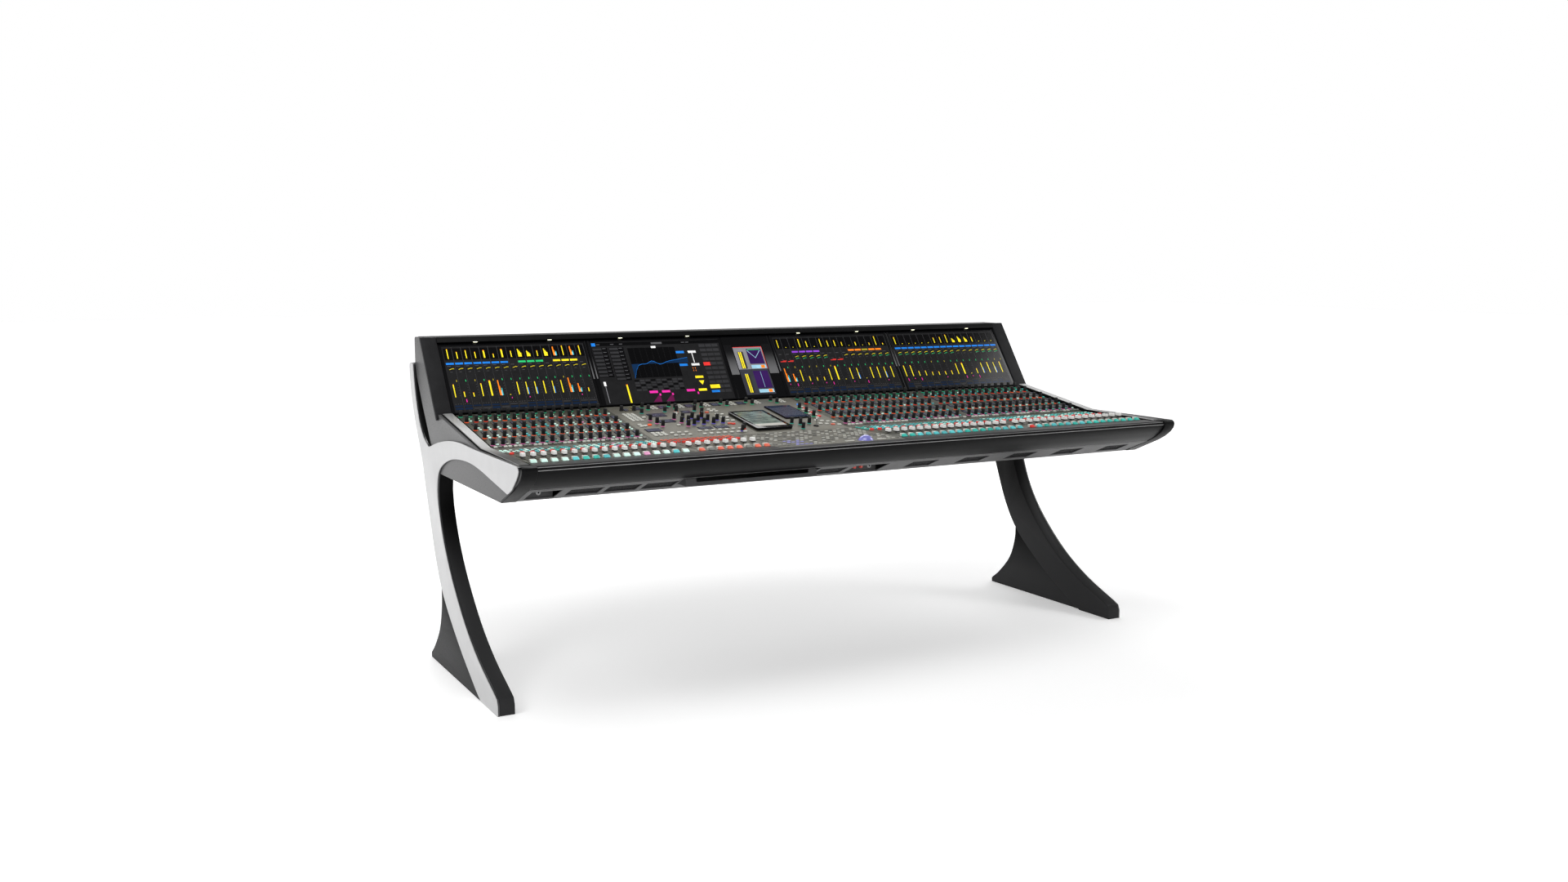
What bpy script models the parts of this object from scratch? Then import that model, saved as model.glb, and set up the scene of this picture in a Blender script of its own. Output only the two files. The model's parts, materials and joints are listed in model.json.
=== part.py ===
"""Large-format mixing console: a sloped control desk with a display bridge, on two arched legs.

X runs along the desk, +Y points away from the operator and +Z up. The origin is on the floor,
below the middle of the desk's outer box. Side outlines are (y, z) pairs whose y starts at the
line through the two toes; DEPTH_CENTRE moves them to the origin's frame.
"""
import math

import bmesh
import bpy
from mathutils import Matrix, Vector

# Driving dimensions, in metres.
DEPTH_CENTRE = 0.307
OUTER_X = 1.1475          # outside of the leg covers
COVER_INNER_X = 1.1400
PANEL_OUTER_X = 1.1395    # outside of the side panels and the leg castings
PANEL_INNER_X = 1.1295
BODY_X = 1.0960           # half the length between the end blocks
RAIL_TOP = 0.7365         # flat top of the front rail and side rails
DECK_TOP = 0.7330
DECK_SHEET = 0.0030
DECK_FRONT = -0.2030
KNEE = 0.1510             # where the level fader deck meets the rising encoder deck
DECK_REAR = 0.5515
DECK_SLOPE = 0.158        # rise per metre behind the knee
UNDERSIDE = 0.6165
SHEET = 0.0025
NOSE_WALL = 0.0060
GAP = 0.0005
PAN_TOP = UNDERSIDE + SHEET + GAP    # what stands on the base pan starts here

# The bridge's glass line, lower and upper edge.
GLASS_FOOT = (0.5600, 0.8000)
GLASS_HEAD = (0.7122, 1.0106)
DISPLAY_DEPTH = 0.0140
CHEEK_FOOT = (0.5480, 0.7890)
CHEEK_HEAD = (0.7165, 1.0290)
CHEEK_DEPTH = 0.0120

# Bay edges along X: left channels, master section, right channels.
BAYS = {"left": (-1.0960, -0.5960), "centre": (-0.5960, 0.0960),
        "right_inner": (0.0960, 0.5960), "right_outer": (0.5960, 1.0960)}
STRIP_PITCH = 0.030
FIRST_STRIP = 0.025       # first strip's centre from the bay's left edge
FADER_Y = -0.0450
FADER_TRAVEL = 0.0500     # each way from the middle
KEY_Y = -0.1330
CAP_LENGTH = 0.0220
CAP_WIDTH = 0.0110

# The slanted panel under the front rail: grille windows, pockets and the keyboard drawer.
PANEL_FOOT = (-0.0545, 0.6168)
PANEL_HEAD = (-0.1600, 0.6598)
GRILLES = (-0.918, -0.805, -0.692, -0.131, 0.203, 0.400, 0.595, 0.790, 0.988)
GRILLE_WIDTH = 0.098
GRILLE_Y = (-0.1400, -0.0760)
LEFT_POCKET = (-1.0800, -0.9930)
RIGHT_POCKET = (-0.0620, 0.0640)
POCKET_Y = (-0.1460, -0.0655)
POCKET_BACK = -0.0620     # the pockets' upright face
POCKET_TOP = 0.6592
SOCKET_Z = 0.6385         # height of the knobs and sockets in the pockets
SOCKET_RADIUS = 0.0032
LEFT_SOCKET_X = -1.0350
RIGHT_SOCKET_X = 0.0390
HEADPHONE_KNOBS = (-0.0180, 0.0060)
DRAWER_X = (-0.6340, -0.2060)
DRAWER_WINDOW = (-0.6375, -0.1900)
DRAWER_Y = (-0.1600, 0.1000)
DRAWER_Z = (0.6375, 0.6592)
DRAWER_FACE = 0.0060
DRAWER_WALL = 0.0025
HAND_SLOT = (-0.6010, -0.2340)
HAND_SLOT_SILL = 0.6480

# Displays along the bridge, by their edges along X.
DISPLAYS = {"channel_display_left": (-1.0960, -0.5960), "main_display": (-0.5960, -0.0960),
            "meter_display": (-0.0960, 0.0960), "channel_display_right_inner": (0.0960, 0.5960),
            "channel_display_right_outer": (0.5960, 1.0960)}

# Controls on the deck.
STRIP_COUNT = 16
MASTER_COUNT = 8
CARRIAGE_Z = (0.7120, 0.7200)
CARRIAGE_HALF = 0.0090
CAP_Z = (0.7365, 0.7500)
STEM_HALF = 0.0010
SLOT_HALF = 0.0018
MAT_Z = (0.7265, 0.7285)
KEY_TOP = 0.7435
KEY_HALF = 0.0092
KEY_LENGTH = 0.0260
ENCODERS = {"select_encoder": (-0.2740, 0.1890), "option_encoder": (-0.0640, 0.1710)}
ENCODER_HOLE = 0.0035
JOYSTICK = (-0.0040, 0.1910)
JOYSTICK_HOLE = 0.0105
JOYSTICK_DEPTH = -0.0015  # the gimbal's pivot, below the deck's surface
TRACKBALL = (-0.0350, -0.1600)
BALL_RADIUS = 0.0250
BALL_CENTRE_Z = DECK_TOP - 0.0080
TABLET = (-0.1640, 0.2800, 0.1310, 0.2120, 0.0090)          # x, y, width, length, thickness
TOUCH_DISPLAY = (-0.0135, 0.3680, 0.0970, 0.1580, 0.0035)

PARTS = "mixing_console"
CUTTERS = "cutters"

# Finish: base colour, roughness, metallic.
FINISHES = {
    "black_paint": ((0.020, 0.020, 0.022), 0.42, 0.0),
    "grey_paint": ((0.110, 0.110, 0.112), 0.45, 0.0),
    "white_cover": ((0.80, 0.80, 0.80), 0.35, 0.0),
    "rail_silver": ((0.36, 0.36, 0.35), 0.38, 0.9),
    "deck_metal": ((0.20, 0.20, 0.17), 0.50, 0.8),
    "display_glass": ((0.006, 0.006, 0.008), 0.08, 0.0),
    "steel": ((0.45, 0.45, 0.46), 0.40, 1.0),
    "cap_white": ((0.78, 0.78, 0.76), 0.40, 0.0),
    "knob_black": ((0.015, 0.015, 0.016), 0.35, 0.0),
    "key_clear": ((0.55, 0.80, 0.78), 0.30, 0.0),
    "key_red": ((0.75, 0.20, 0.14), 0.30, 0.0),
    "knob_red": ((0.62, 0.07, 0.04), 0.35, 0.0),
    "ball_lilac": ((0.36, 0.36, 0.74), 0.18, 0.0),
    "chrome": ((0.75, 0.75, 0.76), 0.12, 1.0),
    "circuit_green": ((0.03, 0.16, 0.08), 0.50, 0.0),
}


def start_empty():
    """Remove whatever the scene holds and make the two collections."""
    for obj in list(bpy.data.objects):
        bpy.data.objects.remove(obj, do_unlink=True)
    for name in (PARTS, CUTTERS):
        group = bpy.data.collections.new(name)
        bpy.context.scene.collection.children.link(group)


def finish(name):
    """The named Principled material, made once."""
    material = bpy.data.materials.get(name)
    if material:
        return material
    colour, roughness, metallic = FINISHES[name]
    material = bpy.data.materials.new(name)
    material.use_nodes = True
    shader = material.node_tree.nodes["Principled BSDF"]
    shader.inputs["Base Color"].default_value = (*colour, 1.0)
    shader.inputs["Roughness"].default_value = roughness
    shader.inputs["Metallic"].default_value = metallic
    material.diffuse_color = (*colour, 1.0)
    return material


def add_part(name, mesh, material, place=None):
    """Link a mesh as a named sub-part with its finish."""
    obj = bpy.data.objects.new(name, mesh)
    mesh.materials.clear()
    mesh.materials.append(finish(material))
    bpy.data.collections[PARTS].objects.link(obj)
    if place:
        obj.matrix_world = place
    return obj


def add_cutter(name, mesh, place=None):
    """Link a mesh as a cutter, shown as wire and left out of renders."""
    obj = bpy.data.objects.new(name, mesh)
    obj.hide_render = True
    obj.display_type = "WIRE"
    bpy.data.collections[CUTTERS].objects.link(obj)
    if place:
        obj.matrix_world = place
    return obj


def combine(obj, other, operation):
    """Cut other from obj, or join it on, with an exact Boolean."""
    modifier = obj.modifiers.new(operation.lower(), "BOOLEAN")
    modifier.operation = operation
    modifier.solver = "EXACT"
    modifier.object = other


def box_into(mesh_bm, low, high):
    """Add a box between two corners to a bmesh."""
    size = [b - a for a, b in zip(low, high)]
    middle = [(a + b) / 2 for a, b in zip(low, high)]
    place = Matrix.Translation(middle) @ Matrix.Diagonal((*size, 1.0))
    bmesh.ops.create_cube(mesh_bm, size=1.0, matrix=place)


def boxes_mesh(name, corners):
    """One mesh holding a box for each (low, high) pair."""
    mesh_bm = bmesh.new()
    for low, high in corners:
        box_into(mesh_bm, low, high)
    mesh = bpy.data.meshes.new(name)
    mesh_bm.to_mesh(mesh)
    mesh_bm.free()
    return mesh


def set_back(low, high):
    """Two corners moved from the toe line's frame to the origin's."""
    return ((low[0], low[1] - DEPTH_CENTRE, low[2]), (high[0], high[1] - DEPTH_CENTRE, high[2]))


def cylinder_mesh(name, radius, length, sides=32):
    """A capped cylinder along local Z, centred on its own origin."""
    mesh_bm = bmesh.new()
    bmesh.ops.create_cone(mesh_bm, cap_ends=True, segments=sides, radius1=radius, radius2=radius,
                          depth=length)
    mesh = bpy.data.meshes.new(name)
    mesh_bm.to_mesh(mesh)
    mesh_bm.free()
    return mesh


def outline_mesh(name, outline, thickness):
    """A flat outline as a filled 2D curve, extruded to a thickness and made a closed mesh."""
    curve = bpy.data.curves.new(name, "CURVE")
    curve.dimensions = "2D"
    curve.fill_mode = "BOTH"
    curve.extrude = thickness / 2
    spline = curve.splines.new("POLY")
    spline.points.add(len(outline) - 1)
    for point, (across, up) in zip(spline.points, outline):
        point.co = (across, up, 0.0, 1.0)
    spline.use_cyclic_u = True
    guide = bpy.data.objects.new(name + "_outline", curve)
    bpy.context.scene.collection.objects.link(guide)
    bpy.context.view_layer.update()
    evaluated = guide.evaluated_get(bpy.context.evaluated_depsgraph_get())
    mesh = bpy.data.meshes.new_from_object(evaluated)
    bpy.data.objects.remove(guide, do_unlink=True)
    bpy.data.curves.remove(curve)
    mesh_bm = bmesh.new()
    mesh_bm.from_mesh(mesh)
    bmesh.ops.remove_doubles(mesh_bm, verts=mesh_bm.verts, dist=0.00001)
    bmesh.ops.recalc_face_normals(mesh_bm, faces=mesh_bm.faces)
    mesh_bm.to_mesh(mesh)
    mesh_bm.free()
    mesh.name = name
    return mesh


def side_placing(x_middle):
    """Local X to world Y, local Y to world Z and local Z to world X."""
    turn = Matrix(((0, 0, 1, 0), (1, 0, 0, 0), (0, 1, 0, 0), (0, 0, 0, 1)))
    return Matrix.Translation((x_middle, -DEPTH_CENTRE, 0.0)) @ turn


def side_solid(name, outline, x_low, x_high, material):
    """A side outline (y, z) carried along the desk from x_low to x_high."""
    mesh = outline_mesh(name, outline, x_high - x_low)
    return add_part(name, mesh, material, side_placing((x_low + x_high) / 2))


def front_placing(y_middle):
    """Local Y to world Z and local Z to the operator, at a distance from the toe line."""
    return (Matrix.Translation((0.0, y_middle - DEPTH_CENTRE, 0.0))
            @ Matrix.Rotation(math.pi / 2, 4, "X"))


def front_solid(name, outline, y_middle, length, material):
    """A front outline (x, z) carried back over a length, centred on y_middle."""
    mesh = outline_mesh(name, outline, length)
    return add_part(name, mesh, material, front_placing(y_middle))


def smooth_run(points, steps):
    """A Catmull-Rom curve through the points, with the end points kept."""
    first = [2 * a - b for a, b in zip(points[0], points[1])]
    last = [2 * a - b for a, b in zip(points[-1], points[-2])]
    guides = [first, *points, last]
    run = []
    for p0, p1, p2, p3 in zip(guides, guides[1:], guides[2:], guides[3:]):
        for step in range(steps):
            t = step / steps
            run.append(tuple(0.5 * (2 * b + (c - a) * t + (2 * a - 5 * b + 4 * c - d) * t * t
                                    + (3 * b - a - 3 * c + d) * t ** 3)
                             for a, b, c, d in zip(p0, p1, p2, p3)))
    run.append(tuple(points[-1]))
    return run


def offset_run(path, distance):
    """The open path moved sideways by a distance: positive is to the left of travel."""
    moved = []
    for index, point in enumerate(path):
        here = Vector(point)
        normals = []
        for start, end in ((index - 1, index), (index, index + 1)):
            if start < 0 or end >= len(path):
                continue
            along = (Vector(path[end]) - Vector(path[start])).normalized()
            normals.append(Vector((-along.y, along.x)))
        normal = sum(normals, Vector((0.0, 0.0))).normalized()
        moved.append(tuple(here + normal * distance / normal.dot(normals[0])))
    return moved


def band(path, thickness):
    """A closed outline: the path, and back along its offset."""
    return [*path, *reversed(offset_run(path, thickness))]


def mirror_name(name, side):
    return name + ("_left" if side < 0 else "_right")


def across(side, near, far):
    """The x span between two distances from the middle, on one side."""
    return (near, far) if side > 0 else (-far, -near)


# ---------------------------------------------------------------- side outlines

def rail_nose():
    """The front rail's outer line: flat hand rest, rounded nose, underside."""
    return [(-0.2035, RAIL_TOP), (-0.2300, RAIL_TOP), (-0.2385, 0.7325), (-0.2405, 0.7250),
            (-0.2360, 0.7130), (-0.2240, 0.6995), (-0.2050, 0.6845), (-0.1850, 0.6725),
            (-0.1620, 0.6612)]


def block_nose():
    """The end block's outer line, slightly proud of the rail."""
    return [(-0.2030, 0.7380), (-0.2340, 0.7380), (-0.2430, 0.7345), (-0.2460, 0.7270),
            (-0.2420, 0.7140), (-0.2290, 0.6990), (-0.2050, 0.6815), (-0.1750, 0.6655),
            (-0.1380, 0.6495), (-0.0600, UNDERSIDE)]


def shell_line():
    """The outer line of the body's back, from the underside to the bridge top."""
    return [(0.5595, UNDERSIDE), (0.6510, 0.6970), (0.7330, 0.8040), (0.8010, 0.9010),
            (0.8160, 0.9450), (0.8150, 1.0130)]


def toe():
    return [(0.1580, 0.0), (0.0, 0.0), (0.0, 0.0300), (0.0080, 0.0480)]


def leg_front():
    """The leg's front edge, from the toe up to the foot of the arch."""
    return [(0.0300, 0.0580), (0.1750, 0.1180), (0.3070, 0.1970), (0.4330, 0.3080),
            (0.5130, 0.4100), (0.5580, 0.5050), (0.5690, 0.5640)]


def arm_underside():
    """The arch and the front arm's lower edge, out to its tip."""
    return [(0.5690, 0.5640), (0.5530, 0.6120), (0.5100, 0.6450), (0.4330, 0.6720),
            (0.3360, 0.6890), (0.2150, 0.6950), (0.1090, 0.6880), (0.0080, 0.6740),
            (-0.1380, 0.6530)]


def arm_top():
    """The front arm's tip and upper edge, back to the fork."""
    return [(-0.1720, 0.6680), (-0.2120, 0.6990), (-0.2320, 0.7210), (-0.2330, 0.7310),
            (-0.2250, 0.7378), (-0.2120, 0.7382), (0.1610, 0.7388), (0.2680, 0.7415),
            (0.3370, 0.7405), (0.4270, 0.7335), (0.5420, 0.7155), (0.6350, 0.6930)]


def rear_arm_inner():
    """The rear arm's edge beside the body, from the fork up."""
    return [(0.6560, 0.6905), (0.7160, 0.7160), (0.7640, 0.7650), (0.7950, 0.8350),
            (0.8100, 0.8900), (0.8190, 0.9400)]


def rear_arm_outer():
    """The rear edge from the rear arm's tip down to the floor."""
    return [(0.8420, 0.9440), (0.8560, 0.9400), (0.8600, 0.9280), (0.8520, 0.8700),
            (0.8250, 0.7900), (0.7820, 0.7130), (0.7370, 0.6400), (0.7050, 0.5600),
            (0.6680, 0.4750), (0.6050, 0.3370), (0.5240, 0.2310), (0.3780, 0.1220),
            (0.2200, 0.0300), (0.1580, 0.0)]


def leg_rear_edge(top):
    """The leg's rear edge below a height, from the top down."""
    run = smooth_run(rear_arm_outer()[2:], 4)
    return [point for point in run if point[1] < top]


# ---------------------------------------------------------------- legs

def make_leg(side):
    """The load-bearing casting: toe, curved column and the arm behind the body."""
    column = smooth_run(leg_front(), 4)
    crown = [(0.5630, 0.5950), (0.5545, UNDERSIDE - GAP), (0.5597, UNDERSIDE - GAP),
             (0.6465, 0.6925)]
    rear = smooth_run(rear_arm_outer()[2:], 4)[:-1]
    outline = [*toe(), *column, *crown, *smooth_run(rear_arm_inner(), 2),
               *rear_arm_outer()[:2], *rear]
    low, high = across(side, BODY_X - GAP, PANEL_OUTER_X)
    side_solid(mirror_name("leg", side), outline, low, high, "black_paint")


def make_leg_cover(side):
    """The pale outer skin: leg, arch, front arm and rear arm in one plate."""
    outline = [*toe(), *smooth_run(leg_front(), 4)[:-1], *smooth_run(arm_underside(), 4),
               *smooth_run(arm_top(), 2), *smooth_run(rear_arm_inner(), 2),
               *rear_arm_outer()[:2], *smooth_run(rear_arm_outer()[2:], 4)[:-1]]
    low, high = across(side, COVER_INNER_X, OUTER_X)
    side_solid(mirror_name("leg_cover", side), outline, low, high, "white_cover")


def make_foot(side):
    """The rear foot: a fin from the leg's back edge to the floor."""
    top = 0.2620
    edge = offset_run(leg_rear_edge(top), GAP)
    edge[-1] = (edge[-1][0], 0.0)
    sweep = smooth_run([(0.6960, 0.0120), (0.6900, 0.0200), (0.6500, 0.0500), (0.5860, 0.1180),
                        (0.5560, 0.1950), (0.5520, 0.2560)], 4)
    outline = [*edge, (0.6950, 0.0), *sweep]
    low, high = across(side, 1.1055, OUTER_X - GAP)
    side_solid(mirror_name("leg_foot", side), outline, low, high, "black_paint")


def make_legs():
    for side in (-1, 1):
        make_leg(side)
        make_leg_cover(side)
        make_foot(side)


# ---------------------------------------------------------------- body

def make_side_panel(side):
    """The flat end plate of body and bridge, behind the nose block and the cheek."""
    nose = offset_run(block_nose(), NOSE_WALL + GAP)
    nose.append((nose[-1][0] + GAP, UNDERSIDE))
    ledge = [(KNEE, RAIL_TOP), (nose[0][0] + GAP, RAIL_TOP), (nose[0][0] + GAP, nose[0][1])]
    shoulder = [(0.8150, 1.0220), (0.8120, 1.0270), (0.8060, 1.0290), (0.7320, 1.0290)]
    outline = [*shell_line(), *shoulder, *cheek_notch(), *ledge, *nose[1:]]
    low, high = across(side, PANEL_INNER_X, PANEL_OUTER_X)
    side_solid(mirror_name("side_panel", side), outline, low, high, "grey_paint")


def cheek_notch():
    """The side panel's edge behind, under and in front of the cheek's foot."""
    up, back = glass_frame()
    foot = Vector(CHEEK_FOOT) - up * GAP
    behind = foot + back * (CHEEK_DEPTH + GAP)
    before = foot - back * GAP
    climb = (rail_height(before.x) - before.y) / (up.y - DECK_SLOPE * up.x)
    return [tuple(behind), tuple(before), tuple(before + up * climb)]


def rail_height(y):
    """Height of the side rail's top at a distance back from the toe line."""
    return RAIL_TOP + max(0.0, y - KNEE) * DECK_SLOPE


def make_end_block(side):
    """The moulded nose at each end of the front rail."""
    outline = band(block_nose(), NOSE_WALL)
    low, high = across(side, BODY_X + GAP, PANEL_OUTER_X)
    side_solid(mirror_name("end_block", side), outline, low, high, "black_paint")


def make_side_rail(side):
    """The metal strip beside the deck, bent at the knee."""
    end = CHEEK_FOOT[0] - 0.0045
    path = [(-0.1880, RAIL_TOP), (KNEE, RAIL_TOP), (end, rail_height(end))]
    low, high = across(side, BODY_X - 0.0092, PANEL_INNER_X - GAP)
    side_solid(mirror_name("side_rail", side), band(path, -0.0160), low, high, "rail_silver")


def make_front_rail():
    """The rounded front edge of the desk, a bent extrusion along the whole body."""
    side_solid("front_rail", band(rail_nose(), NOSE_WALL), -BODY_X, BODY_X, "black_paint")


def make_base_pan():
    """The flat bottom sheet."""
    front, rear = -0.0520, 0.5572
    outline = [(front, UNDERSIDE), (rear, UNDERSIDE), (rear, UNDERSIDE + SHEET),
               (front, UNDERSIDE + SHEET)]
    edge = PANEL_INNER_X - GAP
    side_solid("base_pan", outline, -edge, edge, "black_paint")


def make_rear_shell():
    """The bent back sheet of body and bridge, with rows of air slots."""
    edge = PANEL_INNER_X - GAP
    shell = side_solid("rear_shell", band(shell_line(), SHEET), -edge, edge, "black_paint")
    slots = []
    columns, rows, reach = 6, 4, 0.05
    for column in range(columns):
        middle = 0.34 * (column - (columns - 1) / 2)
        for row in range(rows):
            z = 0.7450 + 0.0120 * row
            slots.append(set_back((middle - reach, 0.63, z), (middle + reach, 0.76, z + 0.0035)))
    combine(shell, add_cutter("air_slots", boxes_mesh("air_slots", slots)), "DIFFERENCE")


def make_vent_panel():
    """The slanted panel under the front rail, with windows for the grilles, the two pockets
    and the drawer."""
    panel = side_solid("vent_panel", band([PANEL_HEAD, PANEL_FOOT], SHEET), -BODY_X + GAP,
                       BODY_X - GAP, "grey_paint")
    below, above = UNDERSIDE - 0.02, PANEL_HEAD[1] + 0.0004
    cuts = [((middle - GRILLE_WIDTH / 2, GRILLE_Y[0], below),
             (middle + GRILLE_WIDTH / 2, GRILLE_Y[1], above)) for middle in GRILLES]
    cuts += [((low, POCKET_Y[0], below), (high, POCKET_Y[1], above))
             for low, high in (LEFT_POCKET, RIGHT_POCKET)]
    cuts.append(((DRAWER_WINDOW[0], DRAWER_Y[0] - 0.04, DRAWER_Z[0] - 0.0010),
                 (DRAWER_WINDOW[1], 0.0, DRAWER_Z[1] + 0.04)))
    windows = boxes_mesh("panel_windows", [set_back(low, high) for low, high in cuts])
    combine(panel, add_cutter("panel_windows", windows), "DIFFERENCE")


def make_pocket(name, span, holes):
    """A bent plate behind a window of the vent panel: ceiling and upright face with holes."""
    path = [(POCKET_Y[0] - 0.0020, POCKET_TOP), (POCKET_BACK, POCKET_TOP), (POCKET_BACK, 0.6238)]
    plate = side_solid(name, band(path, SHEET), span[0] + GAP, span[1] - GAP, "grey_paint")
    for index, (x, radius) in enumerate(holes):
        place = (Matrix.Translation((x, POCKET_BACK - DEPTH_CENTRE, SOCKET_Z))
                 @ Matrix.Rotation(math.pi / 2, 4, "X"))
        hole_name = f"{name}_hole_{index}"
        cutter = add_cutter(hole_name, cylinder_mesh(hole_name, radius, 0.02, 24), place)
        combine(plate, cutter, "DIFFERENCE")


def make_pockets():
    make_pocket("headphone_pocket", LEFT_POCKET, [(LEFT_SOCKET_X, SOCKET_RADIUS)])
    shaft_hole = 0.0025
    holes = [(x, shaft_hole) for x in HEADPHONE_KNOBS] + [(RIGHT_SOCKET_X, SOCKET_RADIUS)]
    make_pocket("monitor_pocket", RIGHT_POCKET, holes)


def make_cross_beam():
    """The U-section beam that joins the two ends, on the base pan."""
    front, rear, top, wall = 0.4550, 0.5250, 0.6900, 0.0035
    path = [(front, top), (front, PAN_TOP), (rear, PAN_TOP), (rear, top)]
    edge = PANEL_INNER_X - 2 * GAP
    side_solid("cross_beam", band(path, wall), -edge, edge, "steel")


def make_power_supply():
    """The power supply's case, standing on the base pan."""
    corners = set_back((0.50, 0.25, PAN_TOP), (0.82, 0.42, PAN_TOP + 0.0655))
    supply = add_part("power_supply", boxes_mesh("power_supply", [corners]), "steel")
    bevel = supply.modifiers.new("edges", "BEVEL")
    bevel.width = 0.003
    bevel.segments = 2


def make_control_board():
    """The long circuit board under the deck."""
    corners = set_back((-1.05, -0.02, 0.7000), (1.05, 0.14, 0.7016))
    add_part("control_board", boxes_mesh("control_board", [corners]), "circuit_green")


# ---------------------------------------------------------------- bridge

def glass_frame():
    """Unit vectors along the glass line and straight back from it, as (y, z)."""
    up = (Vector(GLASS_HEAD) - Vector(GLASS_FOOT)).normalized()
    return up, Vector((up.y, -up.x))


def slab(start_depth, depth):
    """An outline parallel to the glass, from start_depth behind it, depth thick."""
    back = glass_frame()[1]
    low, high = Vector(GLASS_FOOT), Vector(GLASS_HEAD)
    corners = (low + back * start_depth, high + back * start_depth,
               high + back * (start_depth + depth), low + back * (start_depth + depth))
    return [tuple(corner) for corner in corners]


def make_displays():
    for name, (low, high) in DISPLAYS.items():
        display = side_solid(name, slab(0.0, DISPLAY_DEPTH), low + GAP, high - GAP,
                             "display_glass")
        bevel = display.modifiers.new("edges", "BEVEL")
        bevel.width = 0.0010
        bevel.segments = 1
        bevel.limit_method = "ANGLE"


def make_bridge_frame():
    """The mounting frame behind the displays, with a window behind each."""
    plate = 0.0060
    frame = side_solid("bridge_frame", slab(DISPLAY_DEPTH + GAP, plate), -BODY_X + GAP,
                       BODY_X - GAP, "steel")
    up, back = glass_frame()
    middle = (Vector(GLASS_FOOT) + Vector(GLASS_HEAD)) / 2 + back * (DISPLAY_DEPTH + plate / 2)
    turn = Matrix(((1, 0, 0, 0), (0, up.x, back.x, 0), (0, up.y, back.y, 0), (0, 0, 0, 1)))
    place = Matrix.Translation((0.0, middle.x - DEPTH_CENTRE, middle.y)) @ turn
    border, half_height, reach = 0.03, 0.09, 0.02
    windows = [((low + border, -half_height, -reach), (high - border, half_height, reach))
               for low, high in DISPLAYS.values()]
    cutter = add_cutter("frame_windows", boxes_mesh("frame_windows", windows), place)
    combine(frame, cutter, "DIFFERENCE")


def make_top_rail():
    """The aluminium cap along the bridge, overhanging the glass."""
    outline = [(0.7035, 1.0135), (0.7150, 1.0285), (0.7175, 1.0300), (0.8110, 1.0300),
               (0.8145, 1.0270), (0.8150, 1.0135)]
    side_solid("bridge_top_rail", outline, -BODY_X, BODY_X, "black_paint")


def make_cheek(side):
    """The bridge's end trim: a slab along the glass line with a cap on top."""
    up, back = glass_frame()
    foot = Vector(CHEEK_FOOT)
    head = Vector(CHEEK_HEAD)
    cap_head = head + Vector((0.0015, 0.0010))
    outline = [tuple(foot), tuple(head), tuple(cap_head), tuple(cap_head + Vector((0.0110, 0.0))),
               tuple(head + back * CHEEK_DEPTH), tuple(foot + back * CHEEK_DEPTH)]
    low, high = across(side, BODY_X + GAP, OUTER_X - GAP)
    cheek = side_solid(mirror_name("bridge_cheek", side), outline, low, high, "black_paint")
    cap = [(0.7200, 1.0140), (0.7200, 1.0300), (0.8110, 1.0300), (0.8145, 1.0270),
           (0.8150, 1.0140)]
    low, high = across(side, BODY_X + GAP, PANEL_INNER_X - GAP)
    cap_mesh = outline_mesh("cheek_cap", cap, high - low)
    cutter = add_cutter(mirror_name("cheek_cap", side), cap_mesh, side_placing((low + high) / 2))
    combine(cheek, cutter, "UNION")


# ---------------------------------------------------------------- deck

def deck_point(x, y, height=0.0):
    """A point a height above the deck's surface, and the turn that lies flat on it."""
    slope = math.atan(DECK_SLOPE) if y > KNEE else 0.0
    z = DECK_TOP + max(0.0, y - KNEE) * DECK_SLOPE
    turn = Matrix.Rotation(slope, 4, "X")
    return (Matrix.Translation((x, y - DEPTH_CENTRE, z)) @ turn
            @ Matrix.Translation((0.0, 0.0, height)))


def strips(bay):
    """The x centres of a bay's faders: sixteen channels, or the master faders."""
    start = BAYS[bay][0] + FIRST_STRIP
    count = MASTER_COUNT if bay == "centre" else STRIP_COUNT
    return [start + STRIP_PITCH * index for index in range(count)]


def deck_cuts(xs):
    """Fader slots and key windows for a row of strips."""
    cuts = []
    below, above = DECK_TOP - 0.01, DECK_TOP + 0.01
    reach = FADER_TRAVEL + CAP_LENGTH / 2 + 0.0015
    key_reach = KEY_LENGTH / 2 + 0.0010
    window = KEY_HALF + 0.0008
    for x in xs:
        cuts.append(set_back((x - SLOT_HALF, FADER_Y - reach, below),
                             (x + SLOT_HALF, FADER_Y + reach, above)))
        cuts.append(set_back((x - window, KEY_Y - key_reach, below),
                             (x + window, KEY_Y + key_reach, above)))
    return cuts


def make_deck(bay):
    """One bent deck plate with its slots and windows."""
    low, high = BAYS[bay]
    rail = 0.0100
    low += rail if bay == "left" else GAP
    high -= rail if bay == "right_outer" else GAP
    path = [(DECK_FRONT, DECK_TOP), (KNEE, DECK_TOP),
            (DECK_REAR, DECK_TOP + (DECK_REAR - KNEE) * DECK_SLOPE)]
    deck = side_solid("deck_" + bay, band(path, -DECK_SHEET), low, high, "deck_metal")
    slots = boxes_mesh(bay + "_slots", deck_cuts(strips(bay)))
    combine(deck, add_cutter(bay + "_slots", slots), "DIFFERENCE")
    return deck


def drill_centre_deck(deck):
    """Round holes for the trackball, the joystick and the two encoders."""
    holes = [("ball", *TRACKBALL, BALL_RADIUS + 0.0010, 48),
             ("stick", *JOYSTICK, JOYSTICK_HOLE, 32)]
    holes += [(name, x, y, ENCODER_HOLE, 20) for name, (x, y) in ENCODERS.items()]
    for name, x, y, radius, sides in holes:
        cutter = add_cutter(name + "_hole", cylinder_mesh(name + "_hole", radius, 0.03, sides),
                            deck_point(x, y))
        combine(deck, cutter, "DIFFERENCE")


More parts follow.
